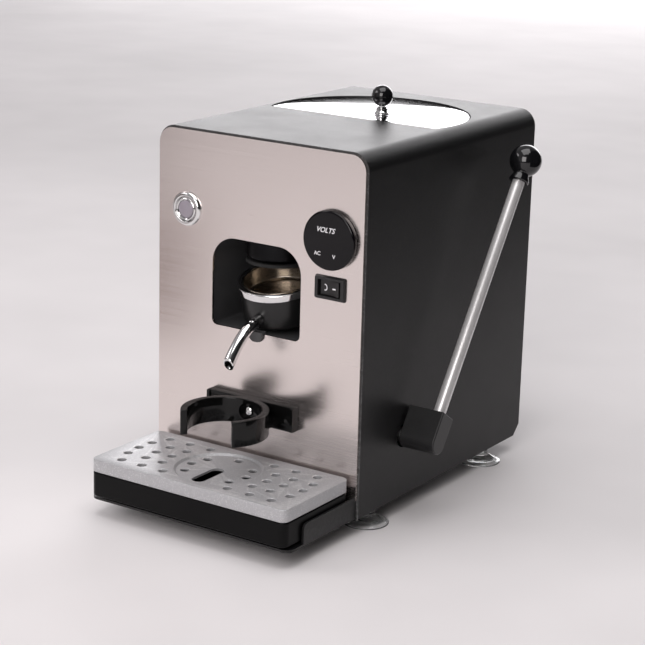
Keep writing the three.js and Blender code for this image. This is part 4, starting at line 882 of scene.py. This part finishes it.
def cup_ring():
    s = span("cup_holder")
    screw = span("cup_holder_screw")
    inner = RING_RADIUS - RING_WALL
    ring = arc(0, RING_CENTRE, RING_RADIUS, -90 + RING_OPEN, 270 - RING_OPEN, 72)
    ring += arc(0, RING_CENTRE, inner, 270 - RING_OPEN, -90 + RING_OPEN, 72)
    plate_front = s.y1 - PLATE_THICKNESS
    half = s.dx / 2
    reach = RING_RADIUS - 1.5
    web = [(-half + 1, plate_front + 1), (-27, plate_front - 1), (-reach, RING_CENTRE + 4),
           (reach, RING_CENTRE + 4), (27, plate_front - 1), (half - 1, plate_front + 1)]
    bore = bar("Z", 0, RING_CENTRE, s.z0 - OVERSHOOT, s.z1 + OVERSHOOT, inner + RING_WALL / 2, FINE)
    solid = join(
        bevel_sharp(prism(ring, "Z", s.z0, s.z1), 0.6),
        bevel_sharp(block(-half, half, plate_front, s.y1, s.z0, s.z1), 0.5),
        cut(prism(web, "Z", s.z0 + GUSSET_LIFT, s.z0 + GUSSET_LIFT + GUSSET), bore),
        block(-half, -half + 2, plate_front - 1.0, s.y1, s.z0 + 0.4, s.z1 - 0.4),
        block(half - 2, half, plate_front - 1.0, s.y1, s.z0 + 0.4, s.z1 - 0.4),
    )
    solid = cut(
        solid,
        bar("Y", 0, screw.z, RING_CENTRE, plate_front, ACCESS_RADIUS),
        bar("Y", 0, screw.z, RING_CENTRE, OVERSHOOT, SCREW_HOLE, SMALL),
    )
    piece("cup_ring_moulding", "cup_holder", solid, RING_BLACK, edge=0.3)
    head = placed(pan_screw(3.2, SCREW_HEAD, 1.9, 14), Matrix.Rotation(math.radians(20), 4, "Z"))
    head = facing_front(head, 0, screw.z, screw.y0 + SCREW_HEAD)
    piece("cup_ring_screw", "cup_holder_screw", head, CHROME, edge=0.12)


cup_ring()

# ---------------------------------------------------------------- button, voltmeter and rocker switch


def push_button():
    s = span("button_bezel")
    cap_span, lens_span = span("button_cap"), span("button_lens")
    bore = cap_span.dx / 2 + GAP
    rim = s.dx / 2
    proud = -s.y0
    bezel = [(bore, -21), (0, -21), (0, -24), (9.4, -24), (9.4, -GAP), (rim, -GAP), (rim, 0.9),
             (rim - 0.9, proud - 0.35), (rim - 2.0, proud), (bore + 0.4, proud - 0.15), (bore, proud - 0.7)]
    face = -cap_span.y0
    radius = lens_span.dx / 2
    seat = face - 2.2
    cap = [(0, seat), (0, face - 7), (bore - GAP, face - 7), (bore - GAP, face - 1.1),
           (bore - 0.9, face - 0.3), (radius + 0.9, face), (radius + GAP, face - 0.5), (radius + GAP, seat)]
    lens = [(0, seat + GAP), (radius, seat + GAP), (radius, face - 0.5), (radius - 0.9, face + 0.1),
            (radius * 0.5, face + 0.4), (0, face + 0.5)]
    for name, node, profile, material in (
        ("button_ring", "button_bezel", bezel, CHROME),
        ("button_plunger", "button_cap", cap, CHROME),
        ("button_window", "button_lens", lens, BUTTON_LENS),
    ):
        turned = lathe(profile, FINE, closed=node != "button_lens")
        piece(name, node, facing_front(turned, s.x, s.z), material, edge=0.12)


def lettering(words, size, slant=0.0, thick=0.05):
    """Flat generic marks lying on the XY plane, centred on the origin, as a mesh."""
    curve = bpy.data.curves.new("marks", "FONT")
    curve.body = words
    curve.size = size
    curve.shear = slant
    curve.extrude = thick / 2
    curve.offset = size * 0.012
    curve.align_x, curve.align_y = "CENTER", "CENTER"
    text = linked("marks", curve)
    mesh = bpy.data.meshes.new_from_object(text.evaluated_get(bpy.context.evaluated_depsgraph_get()))
    bm = bmesh.new()
    bm.from_mesh(mesh)
    bpy.data.objects.remove(text)
    bpy.data.curves.remove(curve)
    bpy.data.meshes.remove(mesh)
    return bm


def voltmeter():
    s = span("gauge_lens")
    body = span("gauge_housing")
    radius, proud = s.dx / 2, -s.y0
    wall = 0.9
    housing = [(0, -body.y1), (13.5, -body.y1), (13.5, -GAP), (radius - wall - GAP, -GAP),
               (radius - wall - GAP, proud - wall - GAP), (0, proud - wall - GAP)]
    housing = facing_front(lathe(soften(housing, 0.4)), s.x, s.z)
    piece("gauge_body", "gauge_housing", housing, GLOSS_BLACK, edge=0)
    lens = [(0, proud - wall), (radius - wall, proud - wall), (radius - wall, GAP), (radius, GAP),
            (radius, proud - 1.1), (radius - 0.35, proud - 0.35), (radius - 1.1, proud), (0, proud)]
    lens = facing_front(lathe(soften(lens, 0.3)), s.x, s.z)
    piece("gauge_window", "gauge_lens", lens, DARK_WINDOW, edge=0, smooth=30)
    for name, words, size, slant, x, z in (
        ("mark_volts", "VOLTS", 4.4, 0.35, -2.2, 6.2),
        ("mark_ac", "AC", 3.4, 0.0, -7.4, -8.6),
        ("mark_v", "V", 3.4, 0.0, 4.4, -9.4),
    ):
        marks = placed(lettering(words, size, slant), Matrix.Rotation(math.pi / 2, 4, "X"))
        detail(name, "gauge_lens", moved(marks, s.x + x, s.y0 - 0.01, s.z + z), MARKING)


def rocker_switch():
    s = span("rocker_housing")
    half_width, half_height = s.dx / 2, s.dz / 2
    lean_in = 0.9
    low, high = s.z - half_height, s.z + half_height
    outline = rounded_rectangle(s.x - half_width, s.x + half_width, low, high, 1.2, 5)
    bezel = prism(outline, "Y", s.y0, -GAP)
    for vertex in bezel.verts:
        if vertex.co.y < s.y0 + 0.01:
            vertex.co.x = s.x + (vertex.co.x - s.x) * (1 - lean_in / half_width)
            vertex.co.z = s.z + (vertex.co.z - s.z) * (1 - lean_in / half_height)
    well = block(s.x - 8.2, s.x + 8.2, s.y0 - OVERSHOOT, 9, s.z - 5.1, s.z + 5.1)
    body = block(s.x - 9.5, s.x + 9.5, -GAP - 1, s.y1, s.z - 6.3, s.z + 6.3)
    piece("rocker_frame", "rocker_housing", cut(join(bezel, body), well), BLACK_MOULDING, edge=0.25)
    tip = pivot("rocker_tip")
    tilt = math.radians(JOINTS["rocker_tip"]["range_deg"][1] / 2)
    place = Matrix.Translation(tip) @ Matrix.Rotation(-tilt, 4, "Z")
    key = span("rocker_key", place)
    face = key.y0
    hollow = 0.9
    outline = [(-key.dx / 2 * 0.86, key.y1), (key.dx / 2 * 0.86, key.y1)]
    for step in range(17):
        share = 1 - step / 8
        outline.append((share * key.dx / 2, face + hollow * (1 - share * share)))
    shape = prism(outline, "Z", -key.dz / 2, key.dz / 2)
    piece("rocker_rocker", "rocker_key", placed(shape, place), BLACK_MOULDING, edge=0.3)
    ring = cut(bar("Y", 0, 0, -0.05, 0.05, 2.1, MEDIUM), bar("Y", 0, 0, -1, 1, 1.4, MEDIUM))
    dash = block(-1.7, 1.7, -0.05, 0.05, -0.45, 0.45)
    for name, mark, x, lean in (("mark_off", ring, -3.9, 8), ("mark_on", dash, 3.9, -8)):
        depth = face + hollow * (1 - (x / (key.dx / 2)) ** 2) - 0.12
        set_down = Matrix.Translation((x, depth, 0)) @ Matrix.Rotation(math.radians(-lean), 4, "Z")
        detail(name, "rocker_key", placed(mark, place @ set_down), MARKING)


push_button()
voltmeter()
rocker_switch()

# ---------------------------------------------------------------- brewing chamber and group head

LINER_CORNER = 2.0
LINER_TOP = 18.0
ARM_SLOT = (13.5, -34.5, 15.6)
GROUP_HOLE = 23.2
SCREEN_RINGS = ((4, 6), (8, 12), (12, 18))
SEAL_WALL = 3.4


def brew_chamber():
    s = span("brew_chamber")
    front, low = SHEET + GAP, s.z0 + NOTCH_DEPTH - GAP - WALL - WINDOW_MARGIN
    pin_z = pivot("portafilter_tilt").z
    half, below, above = ARM_SLOT

    def outline(inset):
        small, large = LINER_CORNER + WALL - inset, LINER_TOP + WALL - inset
        return rounded_rectangle(s.x0 + inset, s.x1 - inset, low + inset, s.z1 - inset,
                                 [small, small, large, large], 20)

    group_y = span("group_head").y
    shell = cut(
        prism(outline(0), "Y", front, s.y1),
        prism(outline(WALL), "Y", front - OVERSHOOT, s.y1 - WALL),
        block(-half, half, s.y1 - OVERSHOOT, s.y1 + OVERSHOOT, pin_z + below, pin_z + above),
        bar("Z", 0, group_y, s.z1 - 9, s.z1 + OVERSHOOT, GROUP_HOLE, FINE),
    )
    shell = join(shell, cut(
        prism(notch_outline(GAP), "Y", s.y0, front + SHEET),
        prism(window_outline(), "Y", s.y0 + 1.4, front),
    ))
    piece("chamber_liner", "brew_chamber", shell, CHAMBER_GREY, edge=0.3)


def group_head():
    s = span("group_head")
    radius, high = s.dx / 2, s.dz
    profile = [(0, 0), (radius - 2.2, 0), (radius - 1.5, 0.4), (radius, 2.4), (radius, high - 0.5),
               (radius - 0.5, high), (0, high)]
    head = moved(lathe(soften(profile, 0.5)), s.x, s.y, s.z0)
    piece("group_body", "group_head", head, DARK_METAL, edge=0)
    s = span("group_seal")
    radius, high = s.dx / 2, s.dz
    profile = [(radius - SEAL_WALL, 0), (radius, 0), (radius, high), (radius - SEAL_WALL, high)]
    seal = moved(lathe(profile, FINE, closed=True), s.x, s.y, s.z0)
    piece("group_gasket", "group_seal", seal, BLACK_RUBBER, edge=0.4)
    s = span("shower_screen")
    disc = lathe([(0, 0), (s.dx / 2, 0), (s.dx / 2, s.dz), (0, s.dz)])
    screen = cut(disc, sieve_holes(SCREEN_RINGS, -OVERSHOOT, OVERSHOOT, 0.7, 10))
    # The screen's steel has the basket's tan tint, a painted reflection.
    piece("group_screen", "shower_screen", moved(screen, s.x, s.y, s.z0), BASKET_STEEL, edge=0.1)


brew_chamber()
group_head()

# ---------------------------------------------------------------- portafilter

TILT = math.radians(-JOINTS["portafilter_tilt"]["range_deg"][0])
TILTED = Matrix.Translation(pivot("portafilter_tilt")) @ Matrix.Rotation(TILT, 4, "X")
SPOUT_BORE = 2.5
SPOUT_DROP = 17.7
MOUTH_SLOPE = math.radians(8)
SPOUT_ROUTE = ((0, 0), (0.1, 0.0), (0.26, 0.03), (0.4, 0.11), (0.54, 0.25), (0.68, 0.43), (0.84, 0.69),
               (1, 1))
BASKET_RINGS = ((3, 6), (6, 12), (9, 18), (12, 24), (15, 30), (18, 36))


def portafilter():
    s = span("portafilter_body", TILTED)
    ring, basket = span("filter_ring", TILTED), span("filter_basket", TILTED)
    pin, spout = span("hinge_pin", TILTED), span("spout", TILTED)
    basket_y = ring.y
    cup_radius = basket_y - s.y0
    wall, floor = 1.8, 3
    top, low = ring.z0 - GAP, s.z0
    cup = lathe(soften([(0, low + floor), (cup_radius - wall, low + floor), (cup_radius - wall, top),
                        (cup_radius, top), (cup_radius, low), (0, low)], 1.6))
    arm = bevel_sharp(block(-10, 10, basket_y + cup_radius - 1.5, 0, -14, -6), 1.4)
    barrel = bar("X", 0, 0, -13, 13, 6.5)
    stem = block(-10, 10, -5.2, 5.2, -14, 0)
    body = join(moved(cup, y=basket_y), arm, stem, barrel)
    body = cut(body, bar("X", 0, 0, -OVERSHOOT * 4, OVERSHOOT * 4, pin.dy / 2 + GAP))
    piece("portafilter_cup", "portafilter_body", placed(body, TILTED), CUP_BLACK, edge=0.3)

    inner = basket.dx / 2 + 0.3
    outer = ring.dx / 2
    rim = [(inner, ring.z0), (outer, ring.z0), (outer, -0.6), (outer - 1.5, 0), (outer - 2.1, -0.5),
           (inner + 0.4, -0.5), (inner, -1.0), (inner, ring.z0)]
    rim = moved(lathe(soften(rim, 0.4)), y=basket_y)
    piece("filter_rim", "filter_ring", placed(rim, TILTED), CHROME, edge=0)
    thick = 0.9
    radius, base, lip = basket.dx / 2, basket.z0, basket.z1
    shape = [(0, base), (radius - 2, base), (radius, base + 2), (radius, lip), (radius - thick, lip),
             (radius - thick, base + thick + 1.4), (radius - thick - 1.4, base + thick), (0, base + thick)]
    holes = sieve_holes(BASKET_RINGS, base - 1, base + 2, 0.35, 6)
    sieve = cut(lathe(soften(shape, 0.5)), holes)
    # The sieve's tan tint is a painted reflection.
    piece("basket_sieve", "filter_basket", placed(moved(sieve, y=basket_y), TILTED), BASKET_STEEL, edge=0)
    shaft = bar("X", 0, 0, pin.x0, pin.x1, pin.dy / 2)
    piece("hinge_shaft", "hinge_pin", placed(shaft, TILTED), PLAIN_STEEL, edge=0.3)

    radius = spout.dx / 2
    start = basket_y - cup_radius - GAP
    tip_lean = math.atan2(SPOUT_ROUTE[-1][1] - SPOUT_ROUTE[-2][1], SPOUT_ROUTE[-1][0] - SPOUT_ROUTE[-2][0])
    reach = start - spout.y0 - radius * math.sin(tip_lean)
    fall = -SPOUT_DROP - spout.z0 - radius * math.cos(tip_lean)
    route = [Vector((0, start - reach * along, -SPOUT_DROP - fall * down)) for along, down in SPOUT_ROUTE]
    mouth = Vector((0, -math.cos(MOUTH_SLOPE), -math.sin(MOUTH_SLOPE)))
    piece("coffee_spout", "spout", placed(tube(route, radius, SPOUT_BORE, mouth), TILTED), CHROME, edge=0)


def smooth_route(points, steps=6):
    """A finer route through the same points, without corners."""
    result = []
    ends = [points[0] * 2 - points[1], *points, points[-1] * 2 - points[-2]]
    for before, start, end, after in zip(ends, ends[1:], ends[2:], ends[3:]):
        for step in range(steps):
            t = step / steps
            square = (2 * before - 5 * start + 4 * end - after) * t ** 2
            cube = (3 * start - before - 3 * end + after) * t ** 3
            result.append(0.5 * (2 * start + (end - before) * t + square + cube))
    return result + [points[-1]]


def tube(points, outer, inner, mouth, steps=MEDIUM):
    """A bent tube in the YZ plane with an open bore and rounded lips; its mouth is square to a direction."""
    route = smooth_route(points)
    lip = min(0.3, (outer - inner) / 3)
    reach = 2.5 * outer
    bm = bmesh.new()

    def ring(point, along, radius):
        side = Vector((1, 0, 0))
        up = along.cross(side)
        past = max(0, 1 - (route[-1] - point).length / reach)
        loop = []
        for step in range(steps):
            turn = math.tau * step / steps
            place = point + side * radius * math.cos(turn) + up * radius * math.sin(turn)
            slant = (point - place).dot(mouth) / along.dot(mouth)
            loop.append(bm.verts.new(place + along * slant * past))
        return loop

    def direction(index):
        return (route[min(index + 1, len(route) - 1)] - route[max(index - 1, 0)]).normalized()

    outside = [ring(point, direction(index), outer) for index, point in enumerate(route)]
    inside = [ring(point, direction(index), inner) for index, point in enumerate(route)]
    first, last = direction(0), direction(len(route) - 1)
    outside[0] = ring(route[0] + first * lip, first, outer)
    outside[-1] = ring(route[-1] - last * lip, last, outer)
    loops = [ring(route[0], first, outer - lip), *outside, ring(route[-1], last, outer - lip),
             ring(route[-1], last, inner + lip), *reversed(inside), ring(route[0], first, inner + lip)]
    for loop, after in zip(loops, loops[1:] + loops[:1]):
        for step in range(steps):
            beyond = (step + 1) % steps
            bm.faces.new((loop[step], loop[beyond], after[beyond], after[step]))
    bmesh.ops.delete(bm, geom=[vertex for vertex in bm.verts if not vertex.link_faces], context="VERTS")
    return point_out(bm)


portafilter()

# ---------------------------------------------------------------- lever

LEAN = math.radians(33.7)
LEANING = Matrix.Translation(pivot("lever_turn")) @ Matrix.Rotation(-LEAN, 4, "X")


def lever():
    hub, rod, ball = span("lever_hub", LEANING), span("lever_rod", LEANING), span("lever_ball", LEANING)
    shaft = span("lever_shaft", LEANING)
    half = hub.dy / 2
    foot = half * 0.96
    outline = arc(0, hub.z0 + foot, foot, 180, 360, 24)
    outline = [(-half, hub.z1), *[(y * half / foot, z) for y, z in outline], (half, hub.z1)]
    solid = prism(outline, "X", hub.x0, hub.x1)
    bores = [
        bar("Z", rod.x, 0, rod.z0 - GAP, hub.z1 + OVERSHOOT, rod.dx / 2 + 0.2),
        bar("X", 0, 0, hub.x0 - OVERSHOOT, shaft.x1 + GAP, shaft.dy / 2 + 0.2),
    ]
    solid = placed(cut(solid, *bores), LEANING)
    piece("lever_block", "lever_hub", solid, BLACK_MOULDING, edge=0.9, segments=4)
    stem = lathe(soften([(0, rod.z0), (rod.dx / 2, rod.z0), (rod.dx / 2, rod.z1), (0, rod.z1)], 0.5), MEDIUM)
    piece("lever_stem", "lever_rod", placed(moved(stem, rod.x, 0), LEANING), BRUSHED_ROD, edge=0)
    radius = ball.dx / 2
    centre = ball.z1 - radius
    collar, bore = 6.6, rod.dx / 2 + 0.2
    joint = math.degrees(math.acos(5.2 / radius))
    knob = [(0, rod.z1 + GAP), (bore, rod.z1 + GAP), (bore, ball.z0), (collar - 0.5, ball.z0),
            (collar, ball.z0 + 0.5), (collar - 0.2, ball.z0 + 1.5), (5.5, centre - radius - 0.8),
            (5.0, centre - radius + 1.0)]
    knob += arc(0, centre, radius, -joint, 90, 40)
    knob[-1] = (0, ball.z1)
    knob = placed(moved(lathe(knob), rod.x, 0), LEANING)
    piece("lever_knob", "lever_ball", knob, GLOSS_BLACK, edge=0, smooth=50)


lever()

# ---------------------------------------------------------------- tank lid


def tank_lid():
    edge = bevel_sharp(prism(tank_outline(0, FINE), "Z", lid.z0, lid.z1), 0.35, 3)
    piece("lid_plate", "lid", edge, MIRROR_LID, edge=0)
    neck, knob = span("lid_knob_neck"), span("lid_knob")
    foot, waist = neck.dx / 2, 3.2
    stem = [(0, neck.z0), (foot, neck.z0), (foot, neck.z0 + 0.9), (foot - 0.8, neck.z0 + 1.3),
            (waist + 0.5, neck.z0 + 2.4), (waist, neck.z0 + 2.9), (waist, neck.z1 - 2.6),
            (waist + 0.9, neck.z1 - 2.2), (waist + 0.9, neck.z1 - 1.4), (waist, neck.z1 - 1.0),
            (waist, neck.z1), (0, neck.z1)]
    piece("knob_neck", "lid_knob_neck", moved(lathe(stem, MEDIUM), neck.x, neck.y), CHROME, edge=0.12)
    radius = knob.dx / 2
    centre = knob.z1 - radius
    low = math.degrees(math.asin((knob.z0 - centre) / radius))
    ball = [(0, knob.z0), *arc(0, centre, radius, low, 90, 36)]
    ball[-1] = (0, knob.z1)
    piece("knob_ball", "lid_knob", moved(lathe(ball), knob.x, knob.y), GLOSS_BLACK, edge=0, smooth=50)


tank_lid()

# ---------------------------------------------------------------- studio

YAW, PITCH, ROLL = 0.584, 0.277, 0.027
CAMERA_PLACE = (682.916, -959.177, 448.032)
LENS = 110.1
SENSOR = 36
FLOOR_REACH = 9.0


def camera():
    forward = Vector((-math.sin(YAW) * math.cos(PITCH), math.cos(YAW) * math.cos(PITCH), -math.sin(PITCH)))
    level = Vector((math.cos(YAW), math.sin(YAW), 0))
    rise = level.cross(forward)
    right = math.cos(ROLL) * level + math.sin(ROLL) * rise
    up = math.cos(ROLL) * rise - math.sin(ROLL) * level
    turn = Matrix((right, up, -forward)).transposed().to_4x4()
    data = bpy.data.cameras.new("camera")
    data.lens = LENS
    data.sensor_width = SENSOR
    data.clip_end = 100
    thing = linked("camera", data)
    thing.matrix_world = Matrix.Translation(TO_FRAME @ Vector(CAMERA_PLACE)) @ turn
    bpy.context.scene.camera = thing
    return thing


def light(name, place, target, wide, high, power, tint):
    data = bpy.data.lights.new(name, "AREA")
    data.shape = "RECTANGLE"
    data.size, data.size_y = wide, high
    data.energy = power
    data.color = tint
    thing = linked(name, data)
    way = Vector(target) - Vector(place)
    thing.matrix_world = Matrix.Translation(place) @ way.to_track_quat("-Z", "Y").to_matrix().to_4x4()
    return thing


def floor():
    bm = bmesh.new()
    bmesh.ops.create_grid(bm, x_segments=1, y_segments=1, size=FLOOR_REACH)
    mesh = mesh_from("floor", bm)
    mesh.materials.append(FLOOR_PAPER)
    return linked("floor", mesh)


def screen(name, corner, along, height, tint, shine):
    """An upright card that shades reflections; it casts no shadow, and the camera can see it."""
    mesh = bpy.data.meshes.new(name)
    x, y, z = corner
    dx, dy = along
    corners = [(x, y, z), (x + dx, y + dy, z), (x + dx, y + dy, z + height), (x, y, z + height)]
    mesh.from_pydata(corners, [], [(0, 1, 2, 3)])
    material, net, shader = new_material(name, Roughness=1.0, Specular_IOR_Level=0.0, Emission_Strength=1.0)
    clouds = place_effect(net, CLOUDS, Size=2.0, Tint=tint, Tint_Change=0.1, Roughness=1.0)
    net.put(shader["Emission Color"], net.scaled(clouds["Color"], shine))
    shader["Base Color"].default_value = (0, 0, 0, 1)
    mesh.materials.append(material)
    thing = linked(name, mesh)
    thing.visible_shadow = False
    thing.visible_diffuse = False
    return thing


def studio():
    rig = [floor(), camera()]
    middle = (0, 0, 0.12)
    rig.append(screen("left drape", (-0.95, -0.4, 0.0), (0.42, -0.19), 0.7, colour(1.0, 0.78, 0.76), 0.17))
    rig.append(screen("low drape", (-0.5, -0.2, 0.0), (0.22, -0.16), 0.1, colour(1.0, 0.84, 0.82), 0.34))
    rig.append(screen("right drape", (0.42, -0.1, 0.0), (0.0, 2.0), 0.9, grey(1.0), 0.01))
    rig.append(light("backdrop", (-1.2, 3.4, 1.1), middle, 3.2, 1.8, 62, (1.0, 0.985, 1.0)))
    rig.append(light("overhead", (0.2, -0.2, 2.0), (0, 0, 0), 1.6, 1.6, 20, (1.0, 0.98, 0.985)))
    rig.append(light("front", (0.6, -1.9, 1.0), middle, 1.1, 1.3, 20, (1.0, 0.96, 0.95)))
    rig.append(light("left", (-1.4, -1.0, 1.2), middle, 0.9, 0.9, 8, (1.0, 0.96, 0.97)))
    world = bpy.data.worlds.new("surroundings")
    world.use_nodes = True
    net = Net(world.node_tree)
    shader = world.node_tree.nodes["Background"]
    way = net.add("SeparateXYZ", {0: net.add("TexCoord").outputs["Generated"]}).outputs
    darker = net.spread(way["X"], -0.1, 0.6, 0.0, 1.0)
    net.put(shader.inputs["Color"], net.mix(darker, (0.62, 0.6, 0.61, 1), (0.06, 0.06, 0.06, 1)))
    shader.inputs["Strength"].default_value = 0.55
    bpy.context.scene.world = world
    bpy.context.scene.view_settings.view_transform = "Standard"


studio()
